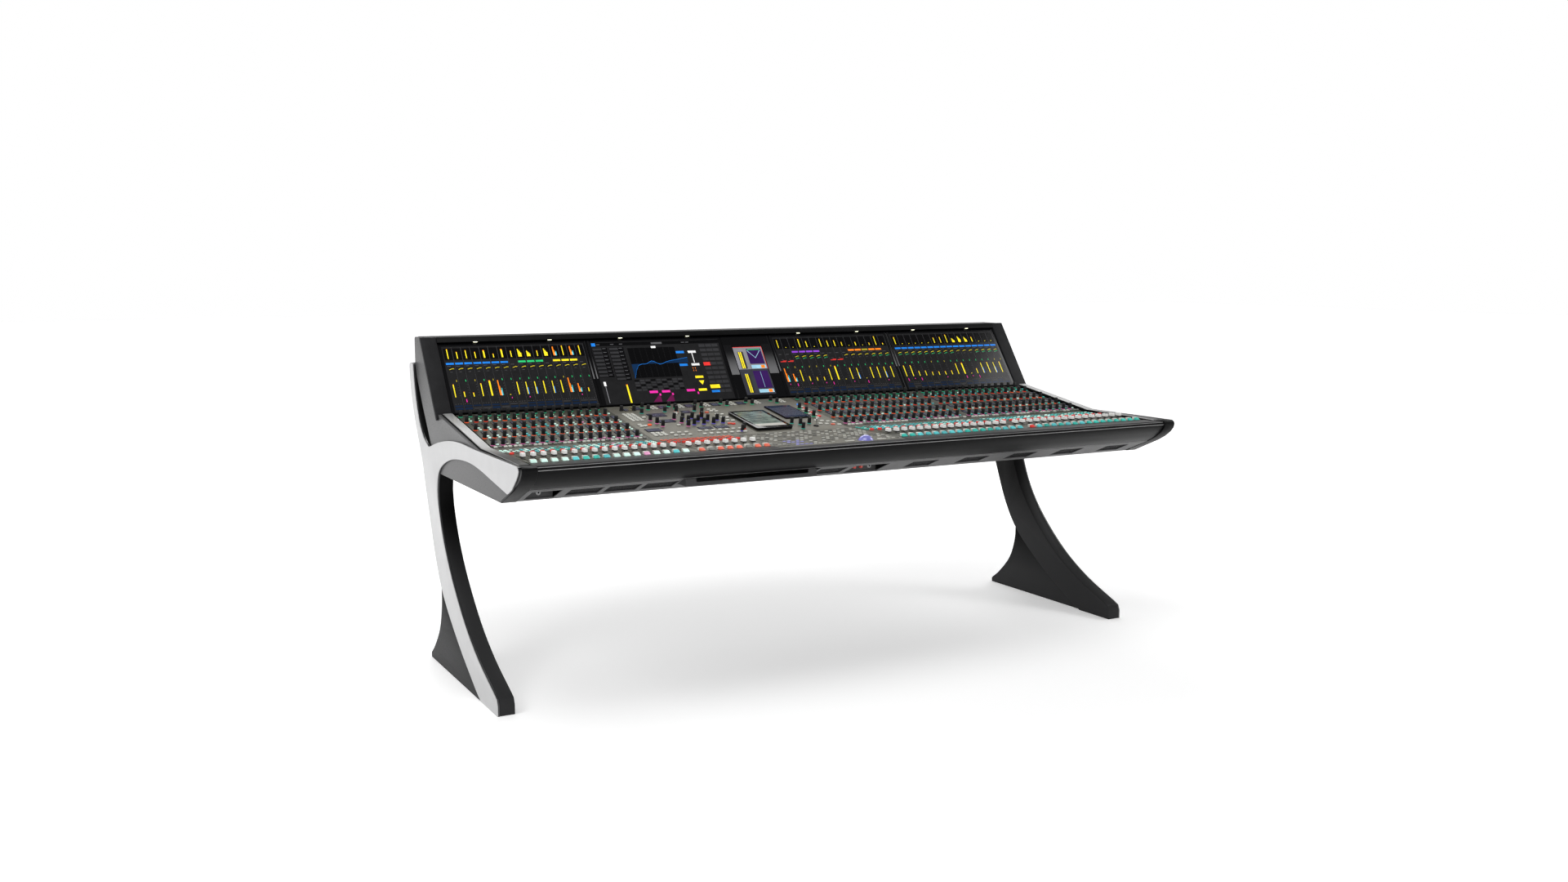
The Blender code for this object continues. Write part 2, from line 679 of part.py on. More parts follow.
def rounded_slab(name, width, length, thickness, radius, material, place):
    """A flat slab with rounded corners, its underside on the local origin's plane."""
    outline = []
    steps = 4
    for corner, (sx, sy) in enumerate(((1, 1), (-1, 1), (-1, -1), (1, -1))):
        cx = sx * (width / 2 - radius)
        cy = sy * (length / 2 - radius)
        for step in range(steps + 1):
            angle = math.pi / 2 * (corner + step / steps)
            outline.append((cx + radius * math.cos(angle), cy + radius * math.sin(angle)))
    mesh = outline_mesh(name, outline, thickness)
    mesh.transform(Matrix.Translation((0.0, 0.0, thickness / 2)))
    add_part(name, mesh, material, place)


def make_tablets():
    """The tablet that lies on the deck, and the thin touch display set into it."""
    for name, corner, (x, y, width, length, thickness) in (
            ("tablet", 0.008, TABLET), ("touch_display", 0.004, TOUCH_DISPLAY)):
        rounded_slab(name, width, length, thickness, corner, "display_glass",
                     deck_point(x, y, GAP))


# ---------------------------------------------------------------- controls that move

def comb_outline(xs, base, base_half, stem_half, cap=None):
    """A front outline: a bar with an upright at each x, widened to a cap if one is given."""
    low, high = base
    taper = 0.0009
    outline = [(xs[0] - base_half, high), (xs[0] - base_half, low),
               (xs[-1] + base_half, low), (xs[-1] + base_half, high)]
    for x in reversed(xs):
        upright = [(stem_half - taper, KEY_TOP)]
        if cap:
            upright = [(stem_half, cap[0]), (CAP_WIDTH / 2, cap[0]),
                       (CAP_WIDTH / 2 - taper, cap[1])]
        upright.insert(0, (stem_half, high))
        outline += [(x + half, z) for half, z in upright]
        outline += [(x - half, z) for half, z in reversed(upright)]
    return outline


def set_origin(obj, point):
    """Move an object's origin to a world point and leave its shape where it is."""
    shift = obj.matrix_world.inverted() @ Vector(point)
    obj.data.transform(Matrix.Translation(-shift))
    obj.matrix_world = obj.matrix_world @ Matrix.Translation(shift)


def make_faders():
    """Eight master faders, and the sixteen faders of each channel bank on one carriage."""
    groups = {f"master_fader_{index}": [x] for index, x in enumerate(strips("centre"), start=1)}
    for bay in ("left", "right_inner", "right_outer"):
        groups["fader_bank_" + bay] = strips(bay)
    for name, xs in groups.items():
        outline = comb_outline(xs, CARRIAGE_Z, CARRIAGE_HALF, STEM_HALF, CAP_Z)
        fader = front_solid(name, outline, FADER_Y, CAP_LENGTH, "cap_white")
        set_origin(fader, ((xs[0] + xs[-1]) / 2, FADER_Y - DEPTH_CENTRE, CAP_Z[0]))


def make_key_mats():
    """The row of lit keys in front of each bay's faders, moulded on one mat."""
    for bay in BAYS:
        xs = strips(bay)
        outline = comb_outline(xs, MAT_Z, KEY_HALF, KEY_HALF)
        material = "key_red" if bay == "centre" else "key_clear"
        mat = front_solid("select_keys_" + bay, outline, KEY_Y, KEY_LENGTH, material)
        set_origin(mat, ((xs[0] + xs[-1]) / 2, KEY_Y - DEPTH_CENTRE, KEY_TOP))


def turned(name, profile, material, place, sides=32):
    """A solid turned about local Z from (radius, height) pairs that run from top to bottom."""
    mesh = bpy.data.meshes.new(name)
    points = [(radius, 0.0, height) for radius, height in profile]
    mesh.from_pydata(points, [(i, i + 1) for i in range(len(points) - 1)], [])
    obj = add_part(name, mesh, material, place)
    screw = obj.modifiers.new("turn", "SCREW")
    screw.axis = "Z"
    screw.steps = sides
    screw.render_steps = sides
    screw.use_merge_vertices = True
    screw.merge_threshold = 0.00001
    screw.use_smooth_shade = True
    return obj


def make_encoders():
    """Two of the deck's rotary encoders: knob above the deck, shaft through it."""
    profile = [(0.0, 0.0190), (0.0045, 0.0190), (0.0055, 0.0180), (0.0060, 0.0010),
               (0.0030, 0.0010), (0.0030, -0.0120), (0.0, -0.0120)]
    for name, (x, y) in ENCODERS.items():
        turned(name, profile, "knob_black", deck_point(x, y), 24)


def make_headphone_knobs():
    """The two level knobs in the monitor pocket, on axes that point at the operator."""
    profile = [(0.0, 0.0105), (0.0042, 0.0105), (0.0050, 0.0095), (0.0052, 0.0005),
               (0.0020, 0.0005), (0.0020, -0.0090), (0.0, -0.0090)]
    for index, x in enumerate(HEADPHONE_KNOBS, start=1):
        place = (Matrix.Translation((x, POCKET_BACK - DEPTH_CENTRE, SOCKET_Z))
                 @ Matrix.Rotation(math.pi / 2, 4, "X"))
        turned(f"headphone_knob_{index}", profile, "knob_red", place, 24)


def make_trackball():
    mesh_bm = bmesh.new()
    bmesh.ops.create_uvsphere(mesh_bm, u_segments=28, v_segments=16, radius=BALL_RADIUS)
    mesh = bpy.data.meshes.new("trackball")
    mesh_bm.to_mesh(mesh)
    mesh_bm.free()
    mesh.shade_smooth()
    x, y = TRACKBALL
    add_part("trackball", mesh, "ball_lilac",
             Matrix.Translation((x, y - DEPTH_CENTRE, BALL_CENTRE_Z)))


def make_joystick():
    """A forked gimbal that rocks about X, and a stick that rocks in its fork about Y."""
    place = deck_point(*JOYSTICK, JOYSTICK_DEPTH)
    gimbal = add_part("joystick_gimbal", cylinder_mesh("joystick_gimbal", 0.0080, 0.0080, 24),
                      "knob_black", place)
    slot = boxes_mesh("fork_slot", [((-0.0200, -0.0024, -0.0028), (0.0200, 0.0024, 0.0200))])
    combine(gimbal, add_cutter("fork_slot", slot, place), "DIFFERENCE")
    profile = [(0.0, 0.0280), (0.0022, 0.0272), (0.0030, 0.0250), (0.0026, 0.0215),
               (0.0014, 0.0200), (0.0013, 0.0060), (0.0018, 0.0015), (0.0018, -0.0018),
               (0.0, -0.0018)]
    turned("joystick_stick", profile, "chrome", place, 20)


def make_drawer():
    """The keyboard drawer: an open tray whose front has a long hand slot."""
    low, high = DRAWER_X
    front, back = DRAWER_Y
    bottom, top = DRAWER_Z
    corners = set_back((low, front, bottom), (high, back, top))
    drawer = add_part("keyboard_drawer", boxes_mesh("keyboard_drawer", [corners]), "grey_paint")
    corners = set_back((low + DRAWER_WALL, front + DRAWER_FACE, bottom + DRAWER_WALL),
                       (high - DRAWER_WALL, back - DRAWER_WALL, top + 0.01))
    combine(drawer, add_cutter("drawer_room", boxes_mesh("drawer_room", [corners])), "DIFFERENCE")
    left, right = HAND_SLOT
    radius, chamfer, above = 0.0040, 0.0012, top + 0.02
    sill = HAND_SLOT_SILL
    slot = [(left, above), (left, sill + radius), (left + chamfer, sill + chamfer),
            (left + radius, sill), (right - radius, sill), (right - chamfer, sill + chamfer),
            (right, sill + radius), (right, above)]
    cutter = add_cutter("hand_slot", outline_mesh("hand_slot", slot, 0.02), front_placing(front))
    combine(drawer, cutter, "DIFFERENCE")
    set_origin(drawer, ((low + high) / 2, front - DEPTH_CENTRE, bottom))


def make_drawer_guide():
    """The channel under and beside the drawer, fixed to the base pan."""
    play, wall = 0.0010, 0.0020
    low = DRAWER_X[0] - play
    high = DRAWER_X[1] + play
    foot, web, top = PAN_TOP, DRAWER_Z[0] - play, 0.6560
    outline = [(low - wall, foot), (low, foot), (low, web - wall), (high, web - wall),
               (high, foot), (high + wall, foot), (high + wall, top), (high, top), (high, web),
               (low, web), (low, top), (low - wall, top)]
    front_solid("drawer_guide", outline, 0.0250, 0.1500, "steel")


def build():
    start_empty()
    make_legs()
    for side in (-1, 1):
        make_side_panel(side)
        make_end_block(side)
        make_side_rail(side)
        make_cheek(side)
    make_front_rail()
    make_base_pan()
    make_rear_shell()
    make_vent_panel()
    make_pockets()
    make_cross_beam()
    make_power_supply()
    make_control_board()
    make_displays()
    make_bridge_frame()
    make_top_rail()
    for bay in BAYS:
        deck = make_deck(bay)
        if bay == "centre":
            drill_centre_deck(deck)
    make_tablets()
    make_faders()
    make_key_mats()
    make_encoders()
    make_headphone_knobs()
    make_trackball()
    make_joystick()
    make_drawer()
    make_drawer_guide()


build()
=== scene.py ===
"""Looks of the mixing console: materials, screens, lamps and every knob, key and fader cap.

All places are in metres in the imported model's frame: +X to the operator's right, +Y away
from the operator, +Z up. Deck places are (x, u), where u is the distance behind the knee
line at which the level fader deck meets the rising encoder deck.
"""
import json
import math
import random

import bmesh
import bpy
from mathutils import Matrix, Vector


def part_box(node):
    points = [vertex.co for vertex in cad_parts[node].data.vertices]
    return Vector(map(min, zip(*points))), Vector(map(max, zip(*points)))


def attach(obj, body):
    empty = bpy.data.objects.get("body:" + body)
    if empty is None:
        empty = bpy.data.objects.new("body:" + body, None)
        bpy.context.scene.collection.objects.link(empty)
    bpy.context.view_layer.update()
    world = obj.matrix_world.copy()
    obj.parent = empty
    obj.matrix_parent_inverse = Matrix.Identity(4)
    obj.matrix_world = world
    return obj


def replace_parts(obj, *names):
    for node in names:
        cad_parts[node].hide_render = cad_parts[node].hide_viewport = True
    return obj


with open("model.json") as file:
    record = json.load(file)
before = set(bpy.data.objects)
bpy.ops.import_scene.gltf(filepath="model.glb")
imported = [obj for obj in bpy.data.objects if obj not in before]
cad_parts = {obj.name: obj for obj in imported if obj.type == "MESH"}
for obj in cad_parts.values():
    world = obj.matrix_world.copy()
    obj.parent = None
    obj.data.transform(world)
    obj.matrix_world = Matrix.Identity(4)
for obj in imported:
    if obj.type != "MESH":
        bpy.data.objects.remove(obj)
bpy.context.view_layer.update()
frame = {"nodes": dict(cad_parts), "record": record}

# ---------------------------------------------------------------- driving places

KNEE_Y = -0.1560
DECK_SLOPE = 0.158
DECK_SHEET = 0.0030
DECK_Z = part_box("deck_left")[0][2] + DECK_SHEET
STRIP_PITCH = 0.0300
CARRIAGE_HALF = 0.0090
STRIPS = 16
MASTERS = 8
BAYS = ("left", "right_inner", "right_outer")
FIRST_STRIP = {bay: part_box("fader_bank_" + bay)[0][0] + CARRIAGE_HALF for bay in BAYS}
FIRST_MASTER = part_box("master_fader_1")[0][0] + CARRIAGE_HALF
FADER_Y = (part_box("master_fader_1")[0][1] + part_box("master_fader_1")[1][1]) / 2
CAP_BASE_Z = 0.7365
KEY_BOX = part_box("select_keys_left")
GLASS_FOOT = Vector((0.0, 0.2530, 0.8000))
GLASS_HEAD = Vector((0.0, 0.4052, 1.0106))

random.seed(7)


def deck(x, u, height=0.0):
    """A frame lying on the deck at (x, u), lifted by a height."""
    slope = math.atan(DECK_SLOPE) if u > 0 else 0.0
    spot = Matrix.Translation((x, KNEE_Y + u, DECK_Z + max(0.0, u) * DECK_SLOPE))
    return spot @ Matrix.Rotation(slope, 4, "X") @ Matrix.Translation((0.0, 0.0, height))


def glass(x):
    """A frame on the bridge glass: origin on its head edge, local Y up the glass, Z out of it."""
    up = (GLASS_HEAD - GLASS_FOOT).normalized()
    out = Vector((0.0, -up.z, up.y))
    turn = Matrix(((1, 0, 0, 0), (0, up.y, out.y, 0), (0, up.z, out.z, 0), (0, 0, 0, 1)))
    return Matrix.Translation((x, GLASS_HEAD.y, GLASS_HEAD.z)) @ turn


# ---------------------------------------------------------------- materials

def new_material(name):
    """An empty node material, with its nodes and links."""
    material = bpy.data.materials.new(name)
    material.use_nodes = True
    return material, material.node_tree.nodes, material.node_tree.links


def noise(nodes, links, scale, detail=3.0, stretch=(1.0, 1.0, 1.0)):
    """A noise value over the object's own coordinates."""
    coordinates = nodes.new("ShaderNodeTexCoord")
    mapping = nodes.new("ShaderNodeMapping")
    mapping.inputs["Scale"].default_value = stretch
    texture = nodes.new("ShaderNodeTexNoise")
    texture.inputs["Scale"].default_value = scale
    texture.inputs["Detail"].default_value = detail
    links.new(coordinates.outputs["Object"], mapping.inputs["Vector"])
    links.new(mapping.outputs["Vector"], texture.inputs["Vector"])
    return texture.outputs["Fac"]


def ranged(nodes, links, value, low, high):
    """A value spread from low to high."""
    spread = nodes.new("ShaderNodeMapRange")
    spread.inputs["From Min"].default_value = 0.3
    spread.inputs["From Max"].default_value = 0.7
    spread.inputs["To Min"].default_value = low
    spread.inputs["To Max"].default_value = high
    links.new(value, spread.inputs["Value"])
    return spread.outputs["Result"]


def two_tone(nodes, links, value, first, second):
    """A colour between two, by a value."""
    ramp = nodes.new("ShaderNodeValToRGB")
    ramp.color_ramp.elements[0].position = 0.35
    ramp.color_ramp.elements[0].color = (*first, 1.0)
    ramp.color_ramp.elements[1].position = 0.65
    ramp.color_ramp.elements[1].color = (*second, 1.0)
    links.new(value, ramp.inputs["Fac"])
    return ramp.outputs["Color"]


def shade(colour, factor):
    """A colour made lighter or darker."""
    return tuple(min(1.0, channel * factor) for channel in colour)


def surface(name, colour, roughness, metallic=0.0, cloud=25.0, vary=0.12, grain=900.0,
            bump=0.04, stretch=(1.0, 1.0, 1.0), coat=0.0, glow=0.0, shine=0.5):
    """A painted, moulded or metal finish: soft clouds in colour and gloss, and a fine grain."""
    material, nodes, links = new_material(name)
    shader = nodes["Principled BSDF"]
    clouds = noise(nodes, links, cloud, stretch=stretch)
    tint = two_tone(nodes, links, clouds, shade(colour, 1 - vary), shade(colour, 1 + vary))
    links.new(tint, shader.inputs["Base Color"])
    fine = noise(nodes, links, grain, 2.0, stretch)
    links.new(ranged(nodes, links, fine, roughness * 0.88, roughness * 1.12),
              shader.inputs["Roughness"])
    bumps = nodes.new("ShaderNodeBump")
    bumps.inputs["Strength"].default_value = bump
    bumps.inputs["Distance"].default_value = 0.0004
    links.new(fine, bumps.inputs["Height"])
    links.new(bumps.outputs["Normal"], shader.inputs["Normal"])
    shader.inputs["Metallic"].default_value = metallic
    shader.inputs["Specular IOR Level"].default_value = shine
    shader.inputs["Coat Weight"].default_value = coat
    shader.inputs["Coat Roughness"].default_value = 0.12
    if glow:
        links.new(tint, shader.inputs["Emission Color"])
        shader.inputs["Emission Strength"].default_value = glow
    return material


def coordinate(nodes, links, axis, output="Object"):
    """One coordinate of the point being shaded."""
    place = nodes.new("ShaderNodeTexCoord")
    split = nodes.new("ShaderNodeSeparateXYZ")
    links.new(place.outputs[output], split.inputs["Vector"])
    return split.outputs[axis]


def eased(nodes, links, value, low, high, first=0.0, last=1.0):
    """A value eased from first to last while it goes from low to high."""
    ease = nodes.new("ShaderNodeMapRange")
    ease.interpolation_type = "SMOOTHSTEP"
    for socket, number in (("From Min", low), ("From Max", high), ("To Min", first),
                           ("To Max", last)):
        ease.inputs[socket].default_value = number
    links.new(value, ease.inputs["Value"])
    return ease.outputs["Result"]


def mixed(nodes, links, factor, first):
    """A colour mix by a factor, from a plain first colour."""
    mix = nodes.new("ShaderNodeMix")
    mix.data_type = "RGBA"
    mix.inputs["A"].default_value = (*first, 1.0)
    links.new(factor, mix.inputs["Factor"])
    return mix


def toned(material, factor, first):
    """Mixes a plain colour into a material's own, which shows where the factor is 1."""
    nodes, links = material.node_tree.nodes, material.node_tree.links
    base = nodes["Principled BSDF"].inputs["Base Color"]
    own = base.links[0].from_socket
    mix = mixed(nodes, links, factor, first)
    links.new(own, mix.inputs["B"])
    links.new(mix.outputs["Result"], base)
    return material


COVER_RIM = 0.0022


def cover_paint():
    """White paint on the cover's outer face, black on its rim next to the leg."""
    material = surface("white_cover_paint", (0.48, 0.48, 0.484), 0.34, coat=0.25, vary=0.02)
    nodes, links = material.node_tree.nodes, material.node_tree.links
    side = nodes.new("ShaderNodeMath")
    side.operation = "ABSOLUTE"
    links.new(coordinate(nodes, links, "X"), side.inputs[0])
    outer = nodes.new("ShaderNodeMath")
    outer.operation = "GREATER_THAN"
    outer.inputs[1].default_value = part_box("leg_cover_right")[1][0] - COVER_RIM
    links.new(side.outputs["Value"], outer.inputs[0])
    return toned(material, outer.outputs["Value"], (0.03, 0.03, 0.032))


def rail_painted_shade_metal():
    """Brushed side rail: bright at the rear, darkened towards the operator by painted shade."""
    material = surface("side_rail_painted_shade_metal", (0.66, 0.66, 0.66), 0.36, metallic=0.75, cloud=30.0,
                       stretch=(30.0, 0.6, 6.0), grain=300.0, vary=0.10)
    nodes, links = material.node_tree.nodes, material.node_tree.links
    along = eased(nodes, links, coordinate(nodes, links, "Y"), KNEE_Y - 0.22, KNEE_Y + 0.10)
    return toned(material, along, (0.05, 0.05, 0.05))


def painted_light_fade(name, low, high, low_colour, high_colour, roughness=0.3, shine=0.1):
    """A satin finish with painted light and shade: its tone changes between two heights."""
    material = surface(name, high_colour, roughness, vary=0.06, grain=400.0, shine=shine)
    nodes, links = material.node_tree.nodes, material.node_tree.links
    return toned(material, eased(nodes, links, coordinate(nodes, links, "Z"), low, high),
                 low_colour)


LOOKS = {
    # name: surface()'s settings
    "black_paint": dict(colour=(0.0045, 0.0045, 0.0048), roughness=0.40, shine=0.07),
    "cheek_paint": dict(colour=(0.015, 0.015, 0.016), roughness=0.48, shine=0.08),
    "panel_grey": dict(colour=(0.088, 0.088, 0.089), roughness=0.46, vary=0.06, shine=0.12),
    "drawer_grey": dict(colour=(0.052, 0.052, 0.053), roughness=0.46, vary=0.06, shine=0.12),
    "pocket_grey": dict(colour=(0.060, 0.060, 0.061), roughness=0.50, vary=0.06, shine=0.12),
    # also used for the painted highlight lines of the front rail
    "edge_grey": dict(colour=(0.27, 0.27, 0.27), roughness=0.36, metallic=0.4, shine=0.4),
    "rest_grey": dict(colour=(0.020, 0.020, 0.019), roughness=0.44, metallic=0.35, shine=0.1,
                      stretch=(1.0, 12.0, 1.0), grain=300.0),
    "deck_metal": dict(colour=(0.076, 0.076, 0.058), roughness=0.42, metallic=0.45, cloud=60.0,
                       stretch=(1.0, 14.0, 1.0), grain=260.0, vary=0.10, bump=0.06, shine=0.15),
    "centre_metal": dict(colour=(0.165, 0.158, 0.130), roughness=0.42, metallic=0.45, cloud=60.0,
                         stretch=(1.0, 14.0, 1.0), grain=260.0, vary=0.10, bump=0.06, shine=0.15),
    "bare_steel": dict(colour=(0.42, 0.42, 0.43), roughness=0.35, metallic=1.0, cloud=80.0,
                       stretch=(1.0, 10.0, 1.0)),
    "circuit_green": dict(colour=(0.02, 0.10, 0.05), roughness=0.5, cloud=220.0, vary=0.4),
    "glass_black": dict(colour=(0.0022, 0.0022, 0.0028), roughness=0.10, cloud=9.0, grain=14.0,
                        bump=0.0, shine=0.22),
    "knob_black": dict(colour=(0.0042, 0.0042, 0.0046), roughness=0.42, shine=0.25),
    "knob_top": dict(colour=(0.014, 0.014, 0.015), roughness=0.50, shine=0.2),
    # the white caps' small glow is painted light
    "cap_white": dict(colour=(0.80, 0.80, 0.78), roughness=0.38, vary=0.03, glow=0.10),
    "cap_black": dict(colour=(0.006, 0.006, 0.006), roughness=0.40, shine=0.2),
    "chrome": dict(colour=(0.70, 0.70, 0.72), roughness=0.12, metallic=1.0, vary=0.05),
    "knob_red": dict(colour=(0.50, 0.035, 0.02), roughness=0.30, coat=0.3),
    "ball_lilac": dict(colour=(0.20, 0.20, 0.56), roughness=0.16, cloud=60.0, coat=0.6, glow=0.10),
    "mark_white": dict(colour=(0.40, 0.40, 0.36), roughness=0.6, shine=0.2),
    "mark_dark": dict(colour=(0.008, 0.008, 0.008), roughness=0.6, shine=0.15),
    "key_grey": dict(colour=(0.20, 0.20, 0.185), roughness=0.45, vary=0.08, shine=0.3),
    # the small glow on these unlit white keys is painted light
    "key_white_painted_glow": dict(colour=(0.56, 0.56, 0.51), roughness=0.38, vary=0.08, glow=0.08),
    "lamp_cream": dict(colour=(0.95, 0.93, 0.66), roughness=0.3, glow=3.0),
    "strip_screen": dict(colour=(0.040, 0.041, 0.066), roughness=0.25, cloud=300.0, glow=0.30,
                         shine=0.2),
    "strip_line": dict(colour=(0.13, 0.145, 0.20), roughness=0.3, glow=0.3, shine=0.2),
    "ui_back": dict(colour=(0.0125, 0.0125, 0.0132), roughness=0.14, cloud=40.0, glow=0.30,
                    shine=0.12),
    "tablet_page": dict(colour=(0.150, 0.190, 0.165), roughness=0.15, cloud=30.0, vary=0.4,
                        glow=0.3, shine=0.3),
    "tablet_mark": dict(colour=(0.060, 0.080, 0.072), roughness=0.2, glow=0.2, shine=0.2),
    "tablet_foot": dict(colour=(0.50, 0.49, 0.45), roughness=0.15, glow=0.3, shine=0.3),
    "touch_navy": dict(colour=(0.014, 0.022, 0.046), roughness=0.28, cloud=9.0, vary=0.15,
                       glow=0.4, shine=0.2),
}
# Looks that share their gloss: name: colour, glow and, for some, how much the colour varies.
RINGS = {
    "green": ((0.01, 0.30, 0.15), 0.6), "red": ((0.55, 0.030, 0.012), 0.75),
    "orange": ((0.66, 0.075, 0.018), 0.75), "pink": ((0.46, 0.11, 0.27), 0.7),
    "purple": ((0.10, 0.075, 0.42), 0.7), "teal": ((0.02, 0.27, 0.21), 0.6),
}
LIT = {
    "white": ((0.52, 0.74, 0.66), 0.45, 0.2), "lime": ((0.42, 0.78, 0.46), 0.5, 0.2),
    "cyan": ((0.07, 0.42, 0.44), 0.35, 0.25), "teal": ((0.025, 0.36, 0.30), 0.35, 0.25),
    "pink": ((0.60, 0.26, 0.43), 0.4, 0.2), "red": ((0.56, 0.030, 0.022), 0.45, 0.2),
    "coral": ((0.62, 0.115, 0.065), 0.3, 0.25), "blue": ((0.04, 0.20, 0.62), 0.6),
    "lavender": ((0.27, 0.27, 0.58), 0.3, 0.2),
}
SCREEN = {
    "dark": ((0.0022, 0.0022, 0.0026), 0.2), "tile": ((0.026, 0.026, 0.028), 0.45),
    "line": ((0.085, 0.085, 0.090), 0.45), "dim_blue": ((0.005, 0.013, 0.034), 0.5),
    "blue": ((0.012, 0.160, 0.56), 0.6), "navy": ((0.004, 0.021, 0.064), 0.5),
    "green": ((0.02, 0.42, 0.13), 0.55), "yellow": ((0.74, 0.60, 0.018), 0.65),
    "olive": ((0.33, 0.27, 0.018), 0.5), "orange": ((0.80, 0.19, 0.012), 0.65),
    "teal": ((0.03, 0.37, 0.42), 0.6), "purple": ((0.23, 0.05, 0.52), 0.6),
    "red": ((0.58, 0.030, 0.026), 0.6), "magenta": ((0.66, 0.025, 0.30), 0.6),
    "plum": ((0.10, 0.008, 0.050), 0.5), "white": ((0.70, 0.70, 0.70), 0.5),
    "grey": ((0.20, 0.20, 0.215), 0.4), "slate": ((0.035, 0.036, 0.046), 0.4),
    "scope": ((0.030, 0.009, 0.075), 0.5), "sky": ((0.28, 0.50, 0.62), 0.5),
}
for prefix, group, gloss in (("ring_", RINGS, dict(roughness=0.3, shine=0.2)),
                             ("lit_", LIT, dict(roughness=0.34)),
                             ("ui_", SCREEN, dict(roughness=0.14, shine=0.12))):
    for name, (colour, glow, *vary) in group.items():
        LOOKS[prefix + name] = dict(gloss, colour=colour, glow=glow)
        if vary:
            LOOKS[prefix + name]["vary"] = vary[0]
# Looks with painted light and shade that fade with height: low and high place, their colours,
# roughness and shine.
PAINTED_FADES = {
    # painted reflection on the glass: dark at the head, lighter lower down
    "glass_painted_reflection": (0.885, 0.960, (0.16, 0.16, 0.165), (0.008, 0.008, 0.009)),
    # painted light on the legs and feet: lighter low down, near black towards the top
    "leg_painted_light": (0.22, 0.50, (0.030, 0.030, 0.031), (0.0030, 0.0030, 0.0031), 0.42, 0.05),
    "foot_painted_light": (0.06, 0.26, (0.036, 0.036, 0.037), (0.0030, 0.0030, 0.0031), 0.42, 0.02),
    # painted shade on the side panels: lighter low down, darker towards the top
    "grey_paint": (0.66, 1.00, (0.120, 0.120, 0.121), (0.040, 0.040, 0.041)),
}
MADE = {}


def look(name):
    """The named material, made once."""
    if name not in MADE:
        if name == "rail_painted_shade_metal":
            MADE[name] = rail_painted_shade_metal()
        elif name in PAINTED_FADES:
            MADE[name] = painted_light_fade(name, *PAINTED_FADES[name])
        else:
            MADE[name] = surface(name, **LOOKS[name])
    return MADE[name]


# ---------------------------------------------------------------- mesh building

class Shape:
    """Closed solids gathered into one mesh, each face with the name of its look."""

    def __init__(self):
        self.points = []
        self.faces = []
        self.marks = []
        self.looks = []

    def mark(self, name):
        """The number of a look in this mesh."""
        if name not in self.looks:
            self.looks.append(name)
        return self.looks.index(name)

    def skin(self, rings, look_at, hoop=False):
        """Equal rings of points joined in order: a solid with two ends, or a closed hoop."""
        first, count = len(self.points), len(rings[0])
        for ring in rings:
            self.points += ring
        for level in range(len(rings) - (not hoop)):
            low = first + level * count
            high = first + (level + 1) % len(rings) * count
            for index in range(count):
                after = (index + 1) % count
                self.faces.append((low + index, low + after, high + after, high + index))
                self.marks.append(self.mark(look_at(level, index)))
        if not hoop:
            self.faces += [tuple(reversed(range(first, first + count))),
                           tuple(range(high, high + count))]
            self.marks += [self.mark(look_at(0, 0)), self.mark(look_at(-1, 0))]

    def loft(self, rings, looks, place):
        """Equal rings of local points, bottom to top, as a solid with one look or one a ring."""
        bands = [looks] * len(rings) if isinstance(looks, str) else looks
        self.skin([[place @ Vector(point) for point in ring] for ring in rings],
                  lambda level, index: bands[level])

    def turned(self, profile, looks, place, sides=16, grip=0.0):
        """A turned solid from (radius, height) pairs, bottom to top, with optional finger grips."""
        rings = []
        for radius, height in profile:
            ring = []
            for step in range(sides):
                angle = 2 * math.pi * step / sides
                reach = radius * (1 - grip * (step % 2)) if height > GRIP_FROM else radius
                ring.append((reach * math.cos(angle), reach * math.sin(angle), height))
            rings.append(ring)
        self.loft(rings, looks, place)

    def slab(self, outline, height, looks, place, chamfer=0.0, base=0.0):
        """An outline raised to a height, with a chamfered top edge."""
        rings = [[(x, y, base) for x, y in outline],
                 [(x, y, height - chamfer) for x, y in outline]]
        if chamfer:
            reach = max(max(abs(x), abs(y)) for x, y in outline)
            shrink = 1 - chamfer / reach
            rings.append([(x * shrink, y * shrink, height) for x, y in outline])
        self.loft(rings, looks, place)

    def box(self, low, high, looks, place):
        """A block between two corners."""
        outline = [(low[0], low[1]), (high[0], low[1]), (high[0], high[1]), (low[0], high[1])]
        rings = [[(x, y, low[2]) for x, y in outline], [(x, y, high[2]) for x, y in outline]]
        self.loft(rings, looks, place)

    def made(self, name, body, slot=None, smooth=35.0):
        """The gathered mesh as a piece that rides on a body."""
        mesh = bpy.data.meshes.new(name)
        mesh.from_pydata([tuple(point) for point in self.points], [], self.faces)
        mesh.polygons.foreach_set("material_index", self.marks)
        for look_name in self.looks:
            mesh.materials.append(look(look_name))
        mesh.shade_smooth()
        mesh.set_sharp_from_angle(angle=math.radians(smooth))
        piece = bpy.data.objects.new(name, mesh)
        bpy.context.scene.collection.objects.link(piece)
        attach(piece, body)
        return piece


GRIP_FROM = 0.0030


def rounded(width, length, radius, steps=2):
    """A rounded rectangle about the local origin, anticlockwise."""
    outline = []
    for corner, (sx, sy) in enumerate(((1, 1), (-1, 1), (-1, -1), (1, -1))):
        for step in range(steps + 1):
            angle = math.pi / 2 * (corner + step / steps)
            outline.append((sx * (width / 2 - radius) + radius * math.cos(angle),
                            sy * (length / 2 - radius) + radius * math.sin(angle)))
    return outline


# ---------------------------------------------------------------- controls

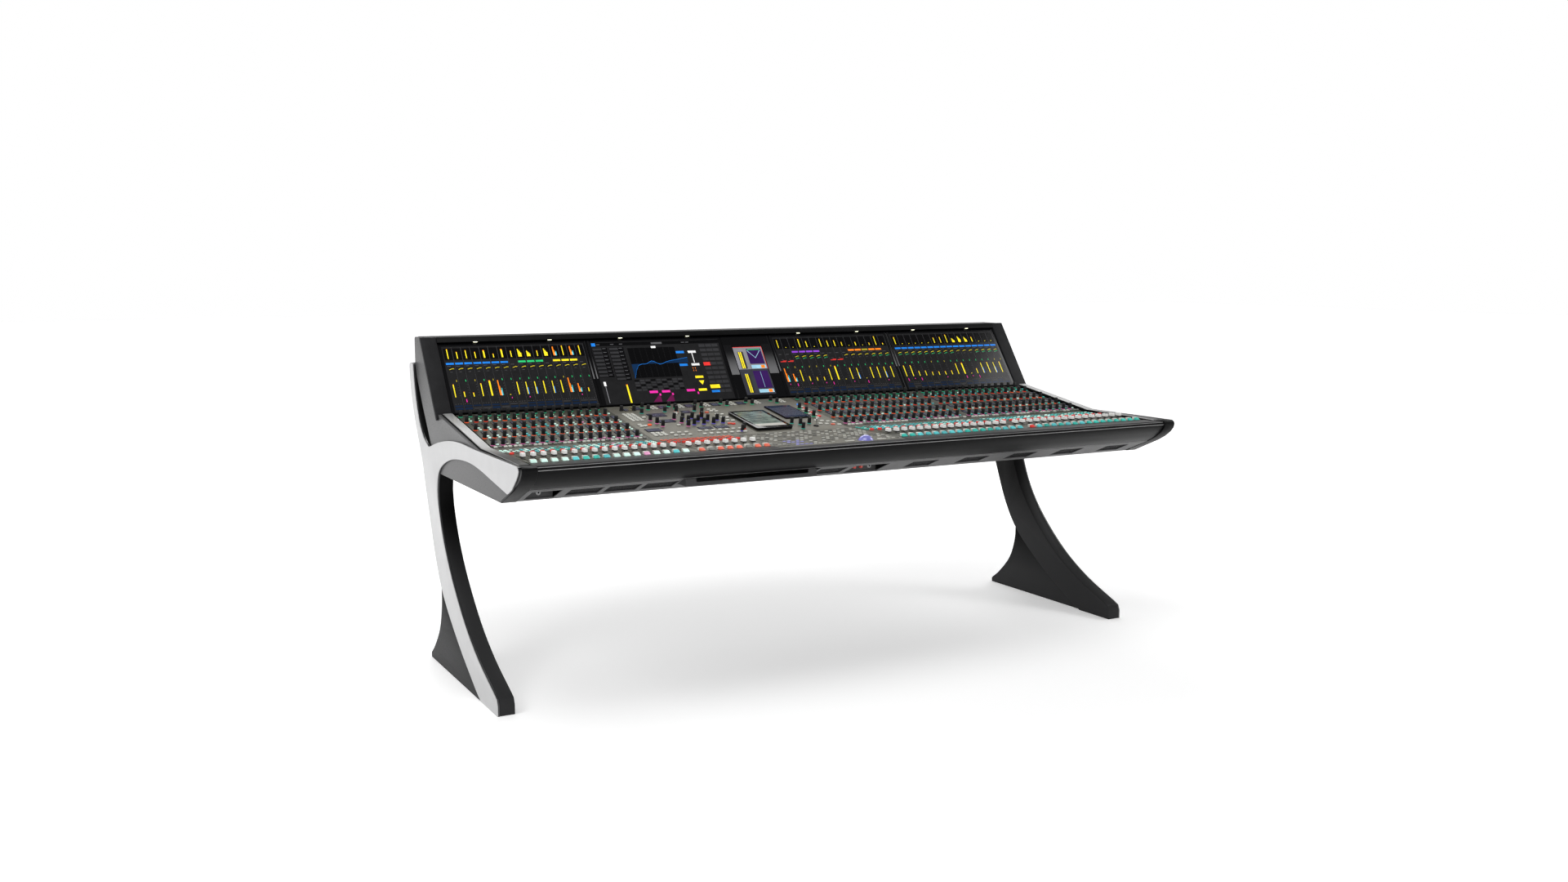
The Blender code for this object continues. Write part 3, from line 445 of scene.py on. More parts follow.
def encoder(shape, ring, place, height=0.0212):
    """A tall black rotary encoder with a lit collar at its foot."""
    profile = [(0.0070, 0.0002), (0.0070, 0.0011), (0.0066, 0.0017), (0.0064, 0.0018),
               (0.0064, 0.0030), (0.0060, 0.0038), (0.0058, height - 0.0012),
               (0.0050, height), (0.0034, height - 0.0004)]
    looks = [ring] * 3 + ["knob_black"] * 4 + ["knob_top"] * 2
    shape.turned(profile, looks, place, sides=18, grip=0.07)


def encoders(shape, rows, height=0.0212):
    """Encoders from rows of (x, u, look of the collar)."""
    for x, u, ring in rows:
        encoder(shape, ring, deck(x, u), height)


def key(shape, width, length, name, place, height=0.0030, radius=0.0012):
    """A small moulded key in a dark surround."""
    shape.slab(rounded(width + 0.0012, length + 0.0012, radius), 0.0005, "mark_dark", place,
               base=0.00005)
    shape.slab(rounded(width, length, radius), height, name, place, chamfer=0.0006, base=0.0001)


def little_display(shape, width, length, place):
    """A strip display: black frame, dim face and a few bright lines."""
    shape.slab(rounded(width, length, 0.0008), 0.0012, "glass_black", place, 0.0002, 0.00005)
    inner_x, inner_y = width / 2 - 0.0012, length / 2 - 0.0012
    shape.box((-inner_x, -inner_y, 0.0010), (inner_x, inner_y, 0.00135), "strip_screen", place)
    for row, reach in ((0.25, 0.75), (-0.15, 0.45), (-0.55, 0.60)):
        y = row * inner_y
        shape.box((-inner_x * 0.85, y, 0.0013), (-inner_x + 2 * inner_x * reach, y + 0.0009,
                                                 0.00145), "strip_line", place)


def ticks(shape, x):
    """A fader's scale: short marks beside its slot."""
    for step in range(11):
        y = -FADER_REACH + 2 * FADER_REACH * step / 10
        half = 0.0030 if step % 5 == 0 else 0.0019
        place = Matrix.Translation((x + SCALE_SHIFT, FADER_Y + y, DECK_Z))
        shape.box((-half, -0.00018, 0.00003), (half, 0.00018, 0.00012), "mark_white", place)


def strip_colours(bay):
    """The lit colours of a bay's strips, from its left end."""
    letters = {"left": "wwwwcttcwwwpwwcw", "right_inner": "ttccccccttttcccc",
               "right_outer": "tctctctctttttttt"}[bay]
    names = {"w": "lit_white", "c": "lit_cyan", "t": "lit_teal", "p": "lit_pink"}
    return [names[letter] for letter in letters]


# Rows of one channel strip, by u: encoders in its left column, displays and keys in its right.
KNOB_ROWS = ((0.376, "ring_green"), (0.312, "ring_red"), (0.220, "ring_red"),
             (0.130, "ring_orange"), (0.052, "ring_pink"))
DISPLAY_ROWS = (0.272, 0.180, 0.092)
KEY_ROWS = (0.342, 0.318, 0.236, 0.218, 0.146, 0.128, 0.054)
FRONT_ROWS = (-0.018, -0.034, -0.050, -0.066, -0.082)
RED_ROW = -0.100
KNOB_SHIFT = -0.0066
SIDE_SHIFT = 0.0078
PAIR = (-0.0068, 0.0068)
SCALE_SHIFT = -0.0072
FADER_REACH = 0.050
# Chances in the random draws: an orange ring instead of red, a key in its strip's colour, and
# a key in a place of the small key field, which has so many rows and columns.
ORANGE_CHANCE = 0.35
OWN_COLOUR_CHANCE = 0.75
FIELD_CHANCE = 0.72
FIELD_ROWS, FIELD_COLUMNS = 11, 28


def strips(bay=None):
    """Where the strips of a bay are, or the master strips."""
    first, count = (FIRST_STRIP[bay], STRIPS) if bay else (FIRST_MASTER, MASTERS)
    return [first + STRIP_PITCH * index for index in range(count)]


def strip_knobs(bay):
    """A bay's tall encoders."""
    shape = Shape()
    for x in strips(bay):
        for u, ring in KNOB_ROWS:
            if ring == "ring_red" and random.random() < ORANGE_CHANCE:
                ring = "ring_orange"
            encoder(shape, ring, deck(x + KNOB_SHIFT, u))
    shape.made("encoders_" + bay, "desk", "knob_black")


def strip_keys(bay):
    """A bay's lit and plain keys, behind and in front of the knee."""
    shape = Shape()
    for x, lit in zip(strips(bay), strip_colours(bay)):
        for row, u in enumerate(KEY_ROWS):
            own = random.random() < OWN_COLOUR_CHANCE
            name = lit if own else random.choice(("lit_white", "key_white_painted_glow"))
            if row == 0 and bay == "left":
                name = "lit_lime"
            key(shape, 0.0085, 0.0062, name, deck(x + SIDE_SHIFT, u), 0.0034, 0.0026)
        for side in PAIR:
            key(shape, 0.0105, 0.0085, random.choice(("key_white_painted_glow", "key_grey", "key_white_painted_glow")),
                deck(x + side, 0.026), 0.0042, 0.0014)
        finishes = (lit, lit, "lit_white", "lit_cyan", "key_grey")
        front_keys(shape, x, [[random.choice(finishes) for side in PAIR] for u in FRONT_ROWS])
    shape.made("strip_keys_" + bay, "desk", "key_clear")


def front_keys(shape, x, pairs):
    """A strip's flat keys between the knee and its fader slot, and the red key behind the slot."""
    for u, names in zip(FRONT_ROWS, pairs):
        for side, name in zip(PAIR, names):
            key(shape, 0.0088, 0.0068, name, deck(x + side, u), 0.0022, 0.0016)
    key(shape, 0.0125, 0.0085, "lit_red", deck(x, RED_ROW), 0.0062, 0.0020)


def strip_displays(bay):
    """A bay's strip displays and fader scales."""
    shape = Shape()
    for x in strips(bay):
        for u in DISPLAY_ROWS:
            little_display(shape, 0.0150, 0.0400, deck(x + SIDE_SHIFT, u))
        ticks(shape, x)
    shape.made("strip_displays_" + bay, "desk", "display_glass")


# ---------------------------------------------------------------- faders and lit keys

CAP_HALF_WIDTH = 0.0055
CAP_HALF_LENGTH = 0.0110


def fader_cap(shape, x):
    """A fader cap with a scooped top: black skirt, white body, dark centre line, steel blade."""
    place = Matrix.Translation((x, FADER_Y, CAP_BASE_Z))
    outline = rounded(2 * CAP_HALF_WIDTH, 2 * CAP_HALF_LENGTH, 0.0010)
    shape.slab(outline, 0.0030, "cap_black", place, 0.0004)
    profile = [(-0.0104, 0.0030), (-0.0098, 0.0100), (-0.0080, 0.0128), (-0.0060, 0.0132),
               (-0.0034, 0.0118), (-0.0006, 0.0106), (0.0006, 0.0106), (0.0034, 0.0118),
               (0.0060, 0.0132), (0.0080, 0.0128), (0.0098, 0.0100), (0.0104, 0.0030)]
    half = CAP_HALF_WIDTH - 0.0005
    turn = Matrix(((0, 0, 1, 0), (1, 0, 0, 0), (0, 1, 0, 0), (0, 0, 0, 1)))
    rings = [[(y, z, -half) for y, z in profile], [(y, z, half) for y, z in profile]]
    shape.loft([list(reversed(ring)) for ring in reversed(rings)], "cap_white", place @ turn)
    shape.box((-half - 0.0001, -0.0006, 0.0100), (half + 0.0001, 0.0006, 0.0108), "mark_dark",
              place)
    shape.box((-0.0008, -0.0060, -0.0245), (0.0008, 0.0060, 0.0010), "bare_steel", place)
    shape.box((-0.0088, -0.0100, -0.0245), (0.0088, 0.0100, -0.0170), "cap_black", place)


def faders():
    """The caps of the eight master faders and of the three banks of channel faders."""
    for index, x in enumerate(strips(), start=1):
        shape = Shape()
        fader_cap(shape, x)
        node = f"master_fader_{index}"
        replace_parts(shape.made(node + "_cap", node, "cap_white"), node)
    for bay in BAYS:
        shape = Shape()
        for x in strips(bay):
            fader_cap(shape, x)
        node = "fader_bank_" + bay
        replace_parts(shape.made("fader_caps_" + bay, node, "cap_white"), node)


def wedge_key(shape, x, name):
    """A lit key in a dark frame: pale flat rear half, coloured front half falling forward."""
    low, high = KEY_BOX
    place = Matrix.Translation((x, (low[1] + high[1]) / 2, 0.0))
    half, reach, floor, ease = 0.0080, 0.0108, low[2] + 0.0015, 0.0006
    lip, top = DECK_Z + 0.0018, DECK_Z + 0.0088
    shape.box((-half - 0.0008, -reach - 0.0012, floor),
              (half + 0.0008, reach + 0.0012, DECK_Z + 0.0004), "cap_black", place)
    for front, back, front_z, back_z, finish in (
            (0.0004, reach, top - ease, top, "key_white_painted_glow"),
            (-reach, 0.0002, lip, top - ease, name)):
        shape.loft([[(-side, front, low_z), (side, front, low_z), (side, back, high_z),
                     (-side, back, high_z)]
                    for side, low_z, high_z in (
                        (half, floor + 0.001, floor + 0.001),
                        (half, front_z - ease, back_z - ease), (half - 0.0009, front_z, back_z))],
                   finish, place)


def lit_key_rows():
    """The wedge keys in front of the faders, each row on the carrier of its key mat."""
    low, high = KEY_BOX
    colours = {bay: strip_colours(bay) for bay in BAYS}
    colours["right_outer"][0] = "lit_red"
    colours["centre"] = ["key_grey" if index in (1, 5) else "lit_coral" for index in range(8)]
    for bay, names in colours.items():
        shape = Shape()
        places = strips(bay if bay in BAYS else None)
        for x, name in zip(places, names):
            wedge_key(shape, x, name)
        shape.box((places[0] - 0.0090, low[1] + 0.0002, low[2]),
                  (places[-1] + 0.0090, high[1] - 0.0002, low[2] + 0.0018), "cap_black",
                  Matrix.Identity(4))
        node = "select_keys_" + bay
        slot = "key_red" if bay == "centre" else "key_clear"
        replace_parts(shape.made("lit_keys_" + bay, node, slot), node)


# ---------------------------------------------------------------- master section

LOW_ENCODER = 0.0170


def key_grid(keys, size, corner, pitch, counts):
    """A pad of white keys, from its rear left corner."""
    for column in range(counts[0]):
        for row in range(counts[1]):
            spot = deck(corner[0] + pitch[0] * column, corner[1] - pitch[1] * row)
            key(keys, *size, "key_white_painted_glow", spot)


def centre_rows():
    """The master section behind the knee: display and encoder groups, keypads, the cluster."""
    knobs, keys, screens = Shape(), Shape(), Shape()
    for group in range(6):
        x = -0.500 + 0.096 * group
        if x < -0.10:
            little_display(screens, 0.030, 0.034, deck(x, 0.362))
        encoders(knobs, ((x + 0.026, 0.372, "ring_green"), (x + 0.036, 0.344, "ring_green")),
                 LOW_ENCODER)
        key_grid(keys, (0.0090, 0.0075), (x + 0.054, 0.378), (0.013, 0.016), (2, 3))
    encoders(knobs, ((-0.556, 0.350, "knob_black"), (-0.514, 0.345, "knob_black"),
                     (-0.504, 0.305, "ring_teal"), (-0.420, 0.310, "ring_teal")), LOW_ENCODER)
    key_grid(keys, (0.0105, 0.0085), (-0.568, 0.300), (0.0145, 0.0135), (3, 7))
    for x, u, width, length in ((-0.536, 0.352, 0.022, 0.026),
                                (-0.466, 0.272, 0.060, 0.040), (-0.466, 0.196, 0.056, 0.034),
                                (-0.551, 0.104, 0.050, 0.034), (-0.378, 0.094, 0.048, 0.026),
                                (-0.320, 0.094, 0.048, 0.026), (-0.352, 0.290, 0.030, 0.030)):
        little_display(screens, width, length, deck(x, u))
    key_grid(keys, (0.0120, 0.0085), (-0.568, 0.070), (0.0165, 0.0140), (3, 3))
    encoders(knobs, [(x, u, "ring_pink") for x, u in (
        (-0.513, 0.215), (-0.506, 0.178), (-0.502, 0.142), (-0.430, 0.215), (-0.424, 0.170),
        (-0.420, 0.128))])
    # the violet-lit cluster: staggered rows, the rear one without its last encoder
    encoders(knobs, [(-0.402 + 0.034 * column + 0.004 * row, 0.212 - 0.036 * row, "ring_purple")
                     for row in range(3) for column in range(4) if row or column < 3])
    encoders(knobs, ((-0.384, 0.300, "ring_red"), (-0.318, 0.300, "ring_teal"),
                     (-0.310, 0.262, "ring_red"), (-0.258, 0.060, "ring_red")))
    centre_keys(keys)
    knobs.made("encoders_centre", "desk", "knob_black")
    keys.made("keys_centre_rear", "desk", "key_clear")
    screens.made("displays_centre", "desk", "display_glass")


def centre_keys(keys):
    """Loose keys of the master section behind the knee, by their colour."""
    rows = {
        "key_white_painted_glow": [(-0.570, 0.168), (-0.556, 0.152), (-0.570, 0.150), (-0.520, 0.250),
                      (-0.400, 0.270), (-0.412, 0.250), (-0.392, 0.285), (-0.448, 0.140)],
        "lit_coral": [(-0.288, 0.268), (-0.276, 0.124)],
        "ring_orange": [(-0.538, 0.162)],
        "lit_red": [(-0.266, 0.118)],
    }
    for u in (0.300, 0.280, 0.240, 0.200, 0.160):
        rows["key_white_painted_glow"] += [(-0.266, u), (-0.250, u - 0.006)]
    for row in range(2):
        rows["key_white_painted_glow"] += [(-0.412 + 0.0235 * step, 0.062 - 0.036 * row) for step in range(7)]
        rows["key_white_painted_glow"] += [(-0.508 + 0.0240 * step, 0.058 - 0.028 * row) for step in range(3)]
    for name, places in rows.items():
        for x, u in places:
            key(keys, 0.0125, 0.0090, name, deck(x, u), 0.0040, 0.0025)


def monitor_rows():
    """The monitoring corner right of the tablet: encoders with white and red keys."""
    knobs, keys = Shape(), Shape()
    encoders(knobs, [(x, u, "ring_teal") for x, u in ((-0.069, 0.087), (-0.047, 0.069),
                                                      (-0.011, 0.074))])
    for x, u in ((0.055, 0.256), (0.050, 0.201), (0.051, 0.152)):
        encoder(knobs, "ring_green", deck(x, u))
        for side, ahead, name in ((0.016, 0.012, "key_white_painted_glow"), (0.018, -0.006, "lit_red"),
                                  (0.002, -0.022, "key_white_painted_glow")):
            key(keys, 0.0110, 0.0090, name, deck(x + side, u + ahead), 0.0040)
    key(keys, 0.0140, 0.0100, "lit_blue", deck(0.078, 0.300), 0.0040)
    for step in range(4):
        name = "lit_coral" if step == 2 else "key_white_painted_glow"
        key(keys, 0.0125, 0.0100, "key_white_painted_glow", deck(0.030 + 0.017 * step, 0.100 - 0.010 * step))
        key(keys, 0.0125, 0.0100, name, deck(0.024 + 0.019 * step, 0.060 - 0.008 * step))
    knobs.made("encoders_monitor", "desk", "knob_black")
    keys.made("keys_monitor", "desk", "key_clear")


def master_front():
    """The master section in front of the knee: strip keys, the small key field, the ball's keys."""
    keys, marks = Shape(), Shape()
    coral, red, grey = "lit_coral", "lit_red", "key_grey"
    for x in strips():
        front_keys(keys, x, ((coral, coral), (coral, red), (grey, coral), (coral, grey),
                             (red, coral)))
        ticks(marks, x)
    for row in range(FIELD_ROWS):
        for column in range(FIELD_COLUMNS):
            x, u = -0.328 + 0.0152 * column, -0.030 - 0.0275 * row
            if clear_of_ball(x, u) and random.random() < FIELD_CHANCE:
                name = random.choice(("key_white_painted_glow", "key_grey", "key_white_painted_glow", "key_grey"))
                if row > 6 and -0.275 < x < -0.215:
                    name = "lit_lavender"
                key(keys, 0.0105, 0.0058, name, deck(x, u), 0.0020, 0.0012)
    for x in (-0.092, 0.022):
        key(keys, 0.030, 0.0110, "key_white_painted_glow", deck(x, -0.311), 0.0030, 0.0030)
    keys.made("keys_centre_front", "desk", "key_clear")
    marks.made("scale_marks_centre", "desk")


def clear_of_ball(x, u):
    """Whether a key of the small field stays clear of the trackball and its long keys."""
    return not (-0.118 < x < 0.048 and u < -0.260)


# ---------------------------------------------------------------- moving singles

def pivot(node):
    """Where a node's joint is."""
    joints = frame["record"]["behaviour"]["joints"]
    return next(joint for joint in joints if joint["child"] == node)["pos_m"]


def deck_singles():
    """The trackball with its ring, and the two encoders that turn."""
    low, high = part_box("trackball")
    centre = Matrix.Translation([(a + b) / 2 for a, b in zip(low, high)])
    radius = (high[0] - low[0]) / 2
    ball = Shape()
    angles = [math.pi * (0.02 + 0.96 * step / 18) for step in range(19)]
    profile = [(radius * math.sin(angle), -radius * math.cos(angle)) for angle in angles]
    ball.turned(profile, "ball_lilac", centre, 40)
    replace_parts(ball.made("trackball_ball", "trackball", "ball_lilac", 60.0), "trackball")
    bezel = Shape()
    spot = Matrix.Translation(((low[0] + high[0]) / 2, (low[1] + high[1]) / 2, DECK_Z))
    ring_band(bezel, radius + 0.0012, radius + 0.0052, 0.0016, "key_grey", spot)
    bezel.made("trackball_bezel", "desk")
    for node, ring in (("select_encoder", "ring_purple"), ("option_encoder", "ring_teal")):
        shape = Shape()
        x, y = pivot(node)[:2]
        place = deck(x, y - KNEE_Y)
        encoder(shape, ring, place)
        shape.turned([(0.0029, -0.0115), (0.0029, 0.0010)], "bare_steel", place)
        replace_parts(shape.made(node + "_knob", node, "knob_black"), node)


def ring_band(shape, inner, outer, height, name, place, sides=40):
    """A flat ring with a bevelled outer edge."""
    turns = [2 * math.pi * step / sides for step in range(sides)]
    shape.skin([[place @ Vector((radius * math.cos(turn), radius * math.sin(turn), z))
                 for turn in turns]
                for radius, z in ((outer, 0.0001), (outer, height * 0.6),
                                  (outer - 0.0008, height), (inner, height), (inner, 0.0001))],
               lambda level, index: name, hoop=True)


def joystick():
    """The chrome handle, which tapers to a waist and ends in a round head."""
    x, y, z = pivot("joystick_gimbal")
    place = Matrix.Translation((x, y, z)) @ Matrix.Rotation(math.atan(DECK_SLOPE), 4, "X")
    stick = Shape()
    profile = [(0.0016, -0.0016), (0.0018, 0.0015), (0.0013, 0.0060), (0.0014, 0.0195),
               (0.0022, 0.0208), (0.0029, 0.0228), (0.0031, 0.0250), (0.0026, 0.0270),
               (0.0012, 0.0281)]
    stick.turned(profile, "chrome", place, 20)
    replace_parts(stick.made("joystick_handle", "joystick_stick", "chrome", 60.0), "joystick_stick")


# ---------------------------------------------------------------- bridge screens

SCREEN_TOP = 0.0136
SCREEN_FOOT = 0.2560
STRIP_WIDTH = 0.0295
SHEET = 0.00002
SCREEN_MARGIN = 0.0135
# Chances on the strip screens: a green mark instead of olive, a magenta peak, a blue dim row.
GREEN_CHANCE = 0.7
PEAK_CHANCE = 0.45
DIM_BLUE_CHANCE = 0.75


class Page(Shape):
    """Thin lit shapes lying on the glass; x runs right and v down from the head edge."""

    def __init__(self, x):
        super().__init__()
        self.place = glass(x)

    def tile(self, x0, v0, x1, v1, name, lift=0.0004):
        """A lit rectangle."""
        self.box((x0, -v1, SHEET), (x1, -v0, lift), name, self.place)

    def tiles(self, *rows):
        """Several lit rectangles, in order."""
        for row in rows:
            self.tile(*row)

    def polygon(self, corners, name, lift=0.0004):
        """A lit polygon, its corners (x, v) given in either direction."""
        outline = [(x, -v) for x, v in corners]
        area = sum(a[0] * b[1] - b[0] * a[1] for a, b in zip(outline, outline[1:] + outline[:1]))
        if area < 0:
            outline.reverse()
        self.loft([[(x, y, z) for x, y in outline] for z in (SHEET, lift)], name, self.place)


# Bars of each kind of level meter: left edge, right edge, share of the height, look.
BARS = {
    "bar": ((-0.0015, 0.0015, 1.0, "ui_yellow"),),
    "wide": ((-0.0030, 0.0024, 1.0, "ui_yellow"),),
    "blue": ((-0.0015, 0.0011, 1.0, "ui_yellow"), (0.0015, 0.0043, 0.55, "ui_blue")),
    "hot": ((-0.0046, -0.0010, 1.0, "ui_orange"), (-0.0008, 0.0012, 0.62, "ui_orange"),
            (0.0016, 0.0032, 0.34, "ui_white"), (0.0036, 0.0068, 0.48, "ui_teal")),
    "steps": [(-0.0062 + 0.0030 * step, -0.0036 + 0.0030 * step, 1 - 0.17 * step, "ui_yellow")
              for step in range(4)],
}
# Orange caps on some kinds: left edge, right edge, height.
CAPS = {"bar": (-0.0015, 0.0015, 0.0014), "wide": (-0.0030, 0.0020, 0.0030)}
QUIET_METER = 0.0024
KINDS = {"w": "wide", "b": "blue", "h": "hot", "s": "steps"}


def meters(text):
    """Meter heights written in millimetres, each with the first letter of its kind, if any."""
    return [(float(word.rstrip("wbhs")) / 1000, KINDS.get(word[-1], "bar"))
            for word in text.split()]


def meter(page, x, foot, height, kind):
    """A level meter standing on a line; a silent one is a short bar."""
    if not height:
        page.tile(x - 0.0015, foot - QUIET_METER, x + 0.0015, foot, "ui_yellow")
        return
    for left, right, share, name in BARS[kind]:
        page.tile(x + left, foot - height * share, x + right, foot, name)
    if kind in CAPS:
        left, right, tall = CAPS[kind]
        page.tile(x + left, foot - height - tall, x + right, foot - height, "ui_orange")


def channel_screen(bay, labels, tops, mains, squiggles, reds=()):
    """A bay's strip screen: two rows of meters, label bars, curves and dim key rows."""
    low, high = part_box("channel_display_" + bay)
    page = Page((low[0] + high[0]) / 2)
    left = (low[0] - high[0]) / 2 + SCREEN_MARGIN
    page.tile(left - 0.002, SCREEN_TOP, -left + 0.002, SCREEN_FOOT, "ui_back", 0.00012)
    for index, (top, main) in enumerate(zip(meters(tops), meters(mains))):
        x = left + STRIP_WIDTH * (index + 0.5)
        page.tiles((x - 0.0132, 0.0205, x + 0.0132, 0.0640, "ui_dark", 0.00018),
                   (x + 0.01455, 0.0160, x + 0.01485, SCREEN_FOOT - 0.004, "ui_line", 0.0002))
        meter(page, x - 0.0015, 0.0590, *top)
        if labels[index]:
            page.tile(x - 0.0128, 0.0742, x + 0.0120, 0.0812, "ui_" + labels[index])
        page.tile(x - 0.0110, 0.0862, x + 0.0010, 0.0874, "ui_line", 0.0002)
        curve(page, x, squiggles[index])
        if index in reds:
            page.tiles((x - 0.0120, 0.1160, x + 0.0110, 0.1185, "ui_red"),
                       (x - 0.0020, 0.1130, x + 0.0125, 0.1150, "ui_red"))
        page.tile(x - 0.0050, 0.1080, x + 0.0030, 0.1090, "ui_line", 0.0002)
        dot = "ui_green" if random.random() < GREEN_CHANCE else "ui_olive"
        page.tile(x + 0.0078, 0.1385, x + 0.0100, 0.1450, dot)
        meter(page, x - 0.0045, 0.2010, *main)
        for mark in range(5):
            v = 0.1560 + 0.0100 * mark
            page.tile(x + 0.0090, v, x + 0.0125, v + 0.0005, "ui_line", 0.0002)
        if random.random() < PEAK_CHANCE:
            tall = random.choice((0.0040, 0.0110))
            page.tile(x - 0.0028, 0.2095, x - 0.0004, 0.2095 + tall, "ui_magenta")
        dim_rows(page, x)
    page.made("screen_" + bay, "desk", "display_glass")


def dim_rows(page, x):
    """The dim rows of names and values at the foot of a strip screen."""
    for v, tall in ((0.2310, 0.0050), (0.2400, 0.0070)):
        name = "ui_dim_blue" if random.random() < DIM_BLUE_CHANCE else "ui_tile"
        page.tile(x - 0.0125, v, x + 0.0120, v + tall, name, 0.0003)
    for step in range(3):
        page.tile(x - 0.0105 + 0.0080 * step, 0.2255, x - 0.0075 + 0.0080 * step, 0.2265,
                  "ui_line", 0.0003)


def curve(page, x, kinds):
    """Small plotted curves below the label bars, in yellow, green or both."""
    steps = ((-0.0060, 0.0045), (-0.0010, 0.0025), (0.0040, 0.0008), (0.0095, 0.0012))
    for row, name in enumerate(kinds):
        v = 0.0945 + 0.0080 * row
        for (x0, v0), (x1, v1) in zip(steps, steps[1:]):
            page.polygon([(x + x0, v + v0), (x + x1, v + v1), (x + x1, v + v1 + 0.0013),
                          (x + x0, v + v0 + 0.0013)], name)


def channel_screens():
    """The three strip screens, each with its own label colours, levels and curves."""
    one, two = ("ui_yellow",), ("ui_yellow", "ui_green")
    channel_screen(
        "left", ["blue"] * 7 + [None] + ["green"] * 3 + [None] + ["yellow"] * 3 + [None],
        "35 24 29 22 26w 13 28w 22 30s 22s 20 28s 34h 36 34h 35",
        "46 18 13 46 54w 56h 0 46 46b 46b 46 46b 46 55h 32h 13", [one] * 16)
    channel_screen(
        "right_inner",
        [None] * 2 + ["purple"] * 4 + [None] * 4 + ["orange"] * 2 + ["olive"] + ["orange"] * 2
        + [None],
        "32 0 0 34 24 0 32 24 24 16 0 14 0 9 36 6",
        "56h 32h 46 18 13 13 46 55w 0 46 46b 0 46 46 46b 46",
        [()] * 2 + [two] * 5 + [()] * 2 + [one] * 4 + [two] * 3, (0, 1, 7, 8))
    channel_screen(
        "right_outer", ["blue"] * 16, "30 0 0 0 0 0 22 24 34 18s 26s 22s 20 0 0 0",
        "46 46 20 20 14 14 14 16 46 46w 0 20 46b 46 46b 46", [two] * 9 + [one] * 3 + [two] * 4)


def main_screen():
    """The master screen: response graph, key columns, faders and routing tiles."""
    page = Page(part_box("main_display")[0][0] + 0.0130)
    page.tiles((0.0, SCREEN_TOP, 0.4740, SCREEN_FOOT, "ui_back", 0.00012),
               (0.0, 0.0160, 0.4740, 0.0290, "ui_dark", 0.0002),
               (0.0025, 0.0170, 0.0165, 0.0290, "ui_blue"),
               (0.2190, 0.0195, 0.2590, 0.0265, "ui_line"))
    for x in (0.0200, 0.0700, 0.1020, 0.3320, 0.3480):
        page.tile(x, 0.0215, x + 0.0120, 0.0240, "ui_line", 0.0003)
    tile_columns(page)
    graph(page)
    accents(page)
    page.made("screen_main", "desk", "display_glass")


def tile_columns(page):
    """Two columns of grey tiles at the left, three at the right and the field below the graph."""
    for x, width, rows in ((0.0010, 0.0540, 8), (0.0600, 0.0540, 9)):
        for row in range(rows):
            v = 0.0350 + 0.0148 * row
            page.tiles((x, v, x + width, v + 0.0130, "ui_dark", 0.0002),
                       (x + 0.0020, v + 0.0018, x + width * 0.62, v + 0.0105, "ui_tile", 0.0003),
                       (x + width * 0.68, v + 0.0030, x + width * 0.90, v + 0.0050, "ui_line",
                        0.0003))
    for row in range(11):
        for column in range(3):
            x, v = 0.3950 + 0.0250 * column, 0.0330 + 0.0185 * row
            page.tile(x, v, x + 0.0225, v + 0.0110, "ui_tile", 0.0003)
    for column in range(9):
        for row in range(5):
            x, v = 0.1210 + 0.0198 * column, 0.1660 + 0.0092 * row
            name = "ui_tile" if (column + row) % 3 else "ui_dark"
            page.tile(x, v, x + 0.0165, v + 0.0068, name, 0.0003)


def graph(page):
    """The response graph: dark field, grid lines, filled curve and its bright edge."""
    left, right, top, foot, base = 0.1270, 0.3010, 0.0400, 0.1590, 0.1040
    page.tile(left, top, right, foot, "ui_dark", 0.0002)
    for step in range(1, 8):
        x = left + (right - left) * step / 8
        page.tile(x, top, x + 0.0003, foot, "ui_tile", 0.00022)
    line = [(left, foot), (0.1330, 0.1440), (0.1410, 0.1250), (0.1520, 0.1090), (0.1640, 0.1045),
            (0.1820, 0.1040), (0.1950, 0.0965), (0.2020, 0.0930), (0.2100, 0.0950),
            (0.2210, 0.1030), (0.2310, 0.1075), (0.2430, 0.1045), (0.2560, 0.0985),
            (0.2700, 0.0950), (0.2850, 0.0925), (right, 0.0905), (0.3180, 0.0870),
            (0.3380, 0.0840)]
    for (x0, v0), (x1, v1) in zip(line, line[1:]):
        page.polygon([(x0, v0), (x1, v1), (x1, v1 + 0.0012), (x0, v0 + 0.0012)], "ui_blue", 0.0005)
        if abs(v0 - base) > 0.0006 or abs(v1 - base) > 0.0006:
            page.polygon([(x0, min(v0, base)), (x1, min(v1, base)),
                          (x1, max(v1, base) + 0.0004), (x0, max(v0, base) + 0.0004)],
                         "ui_navy", 0.0003)


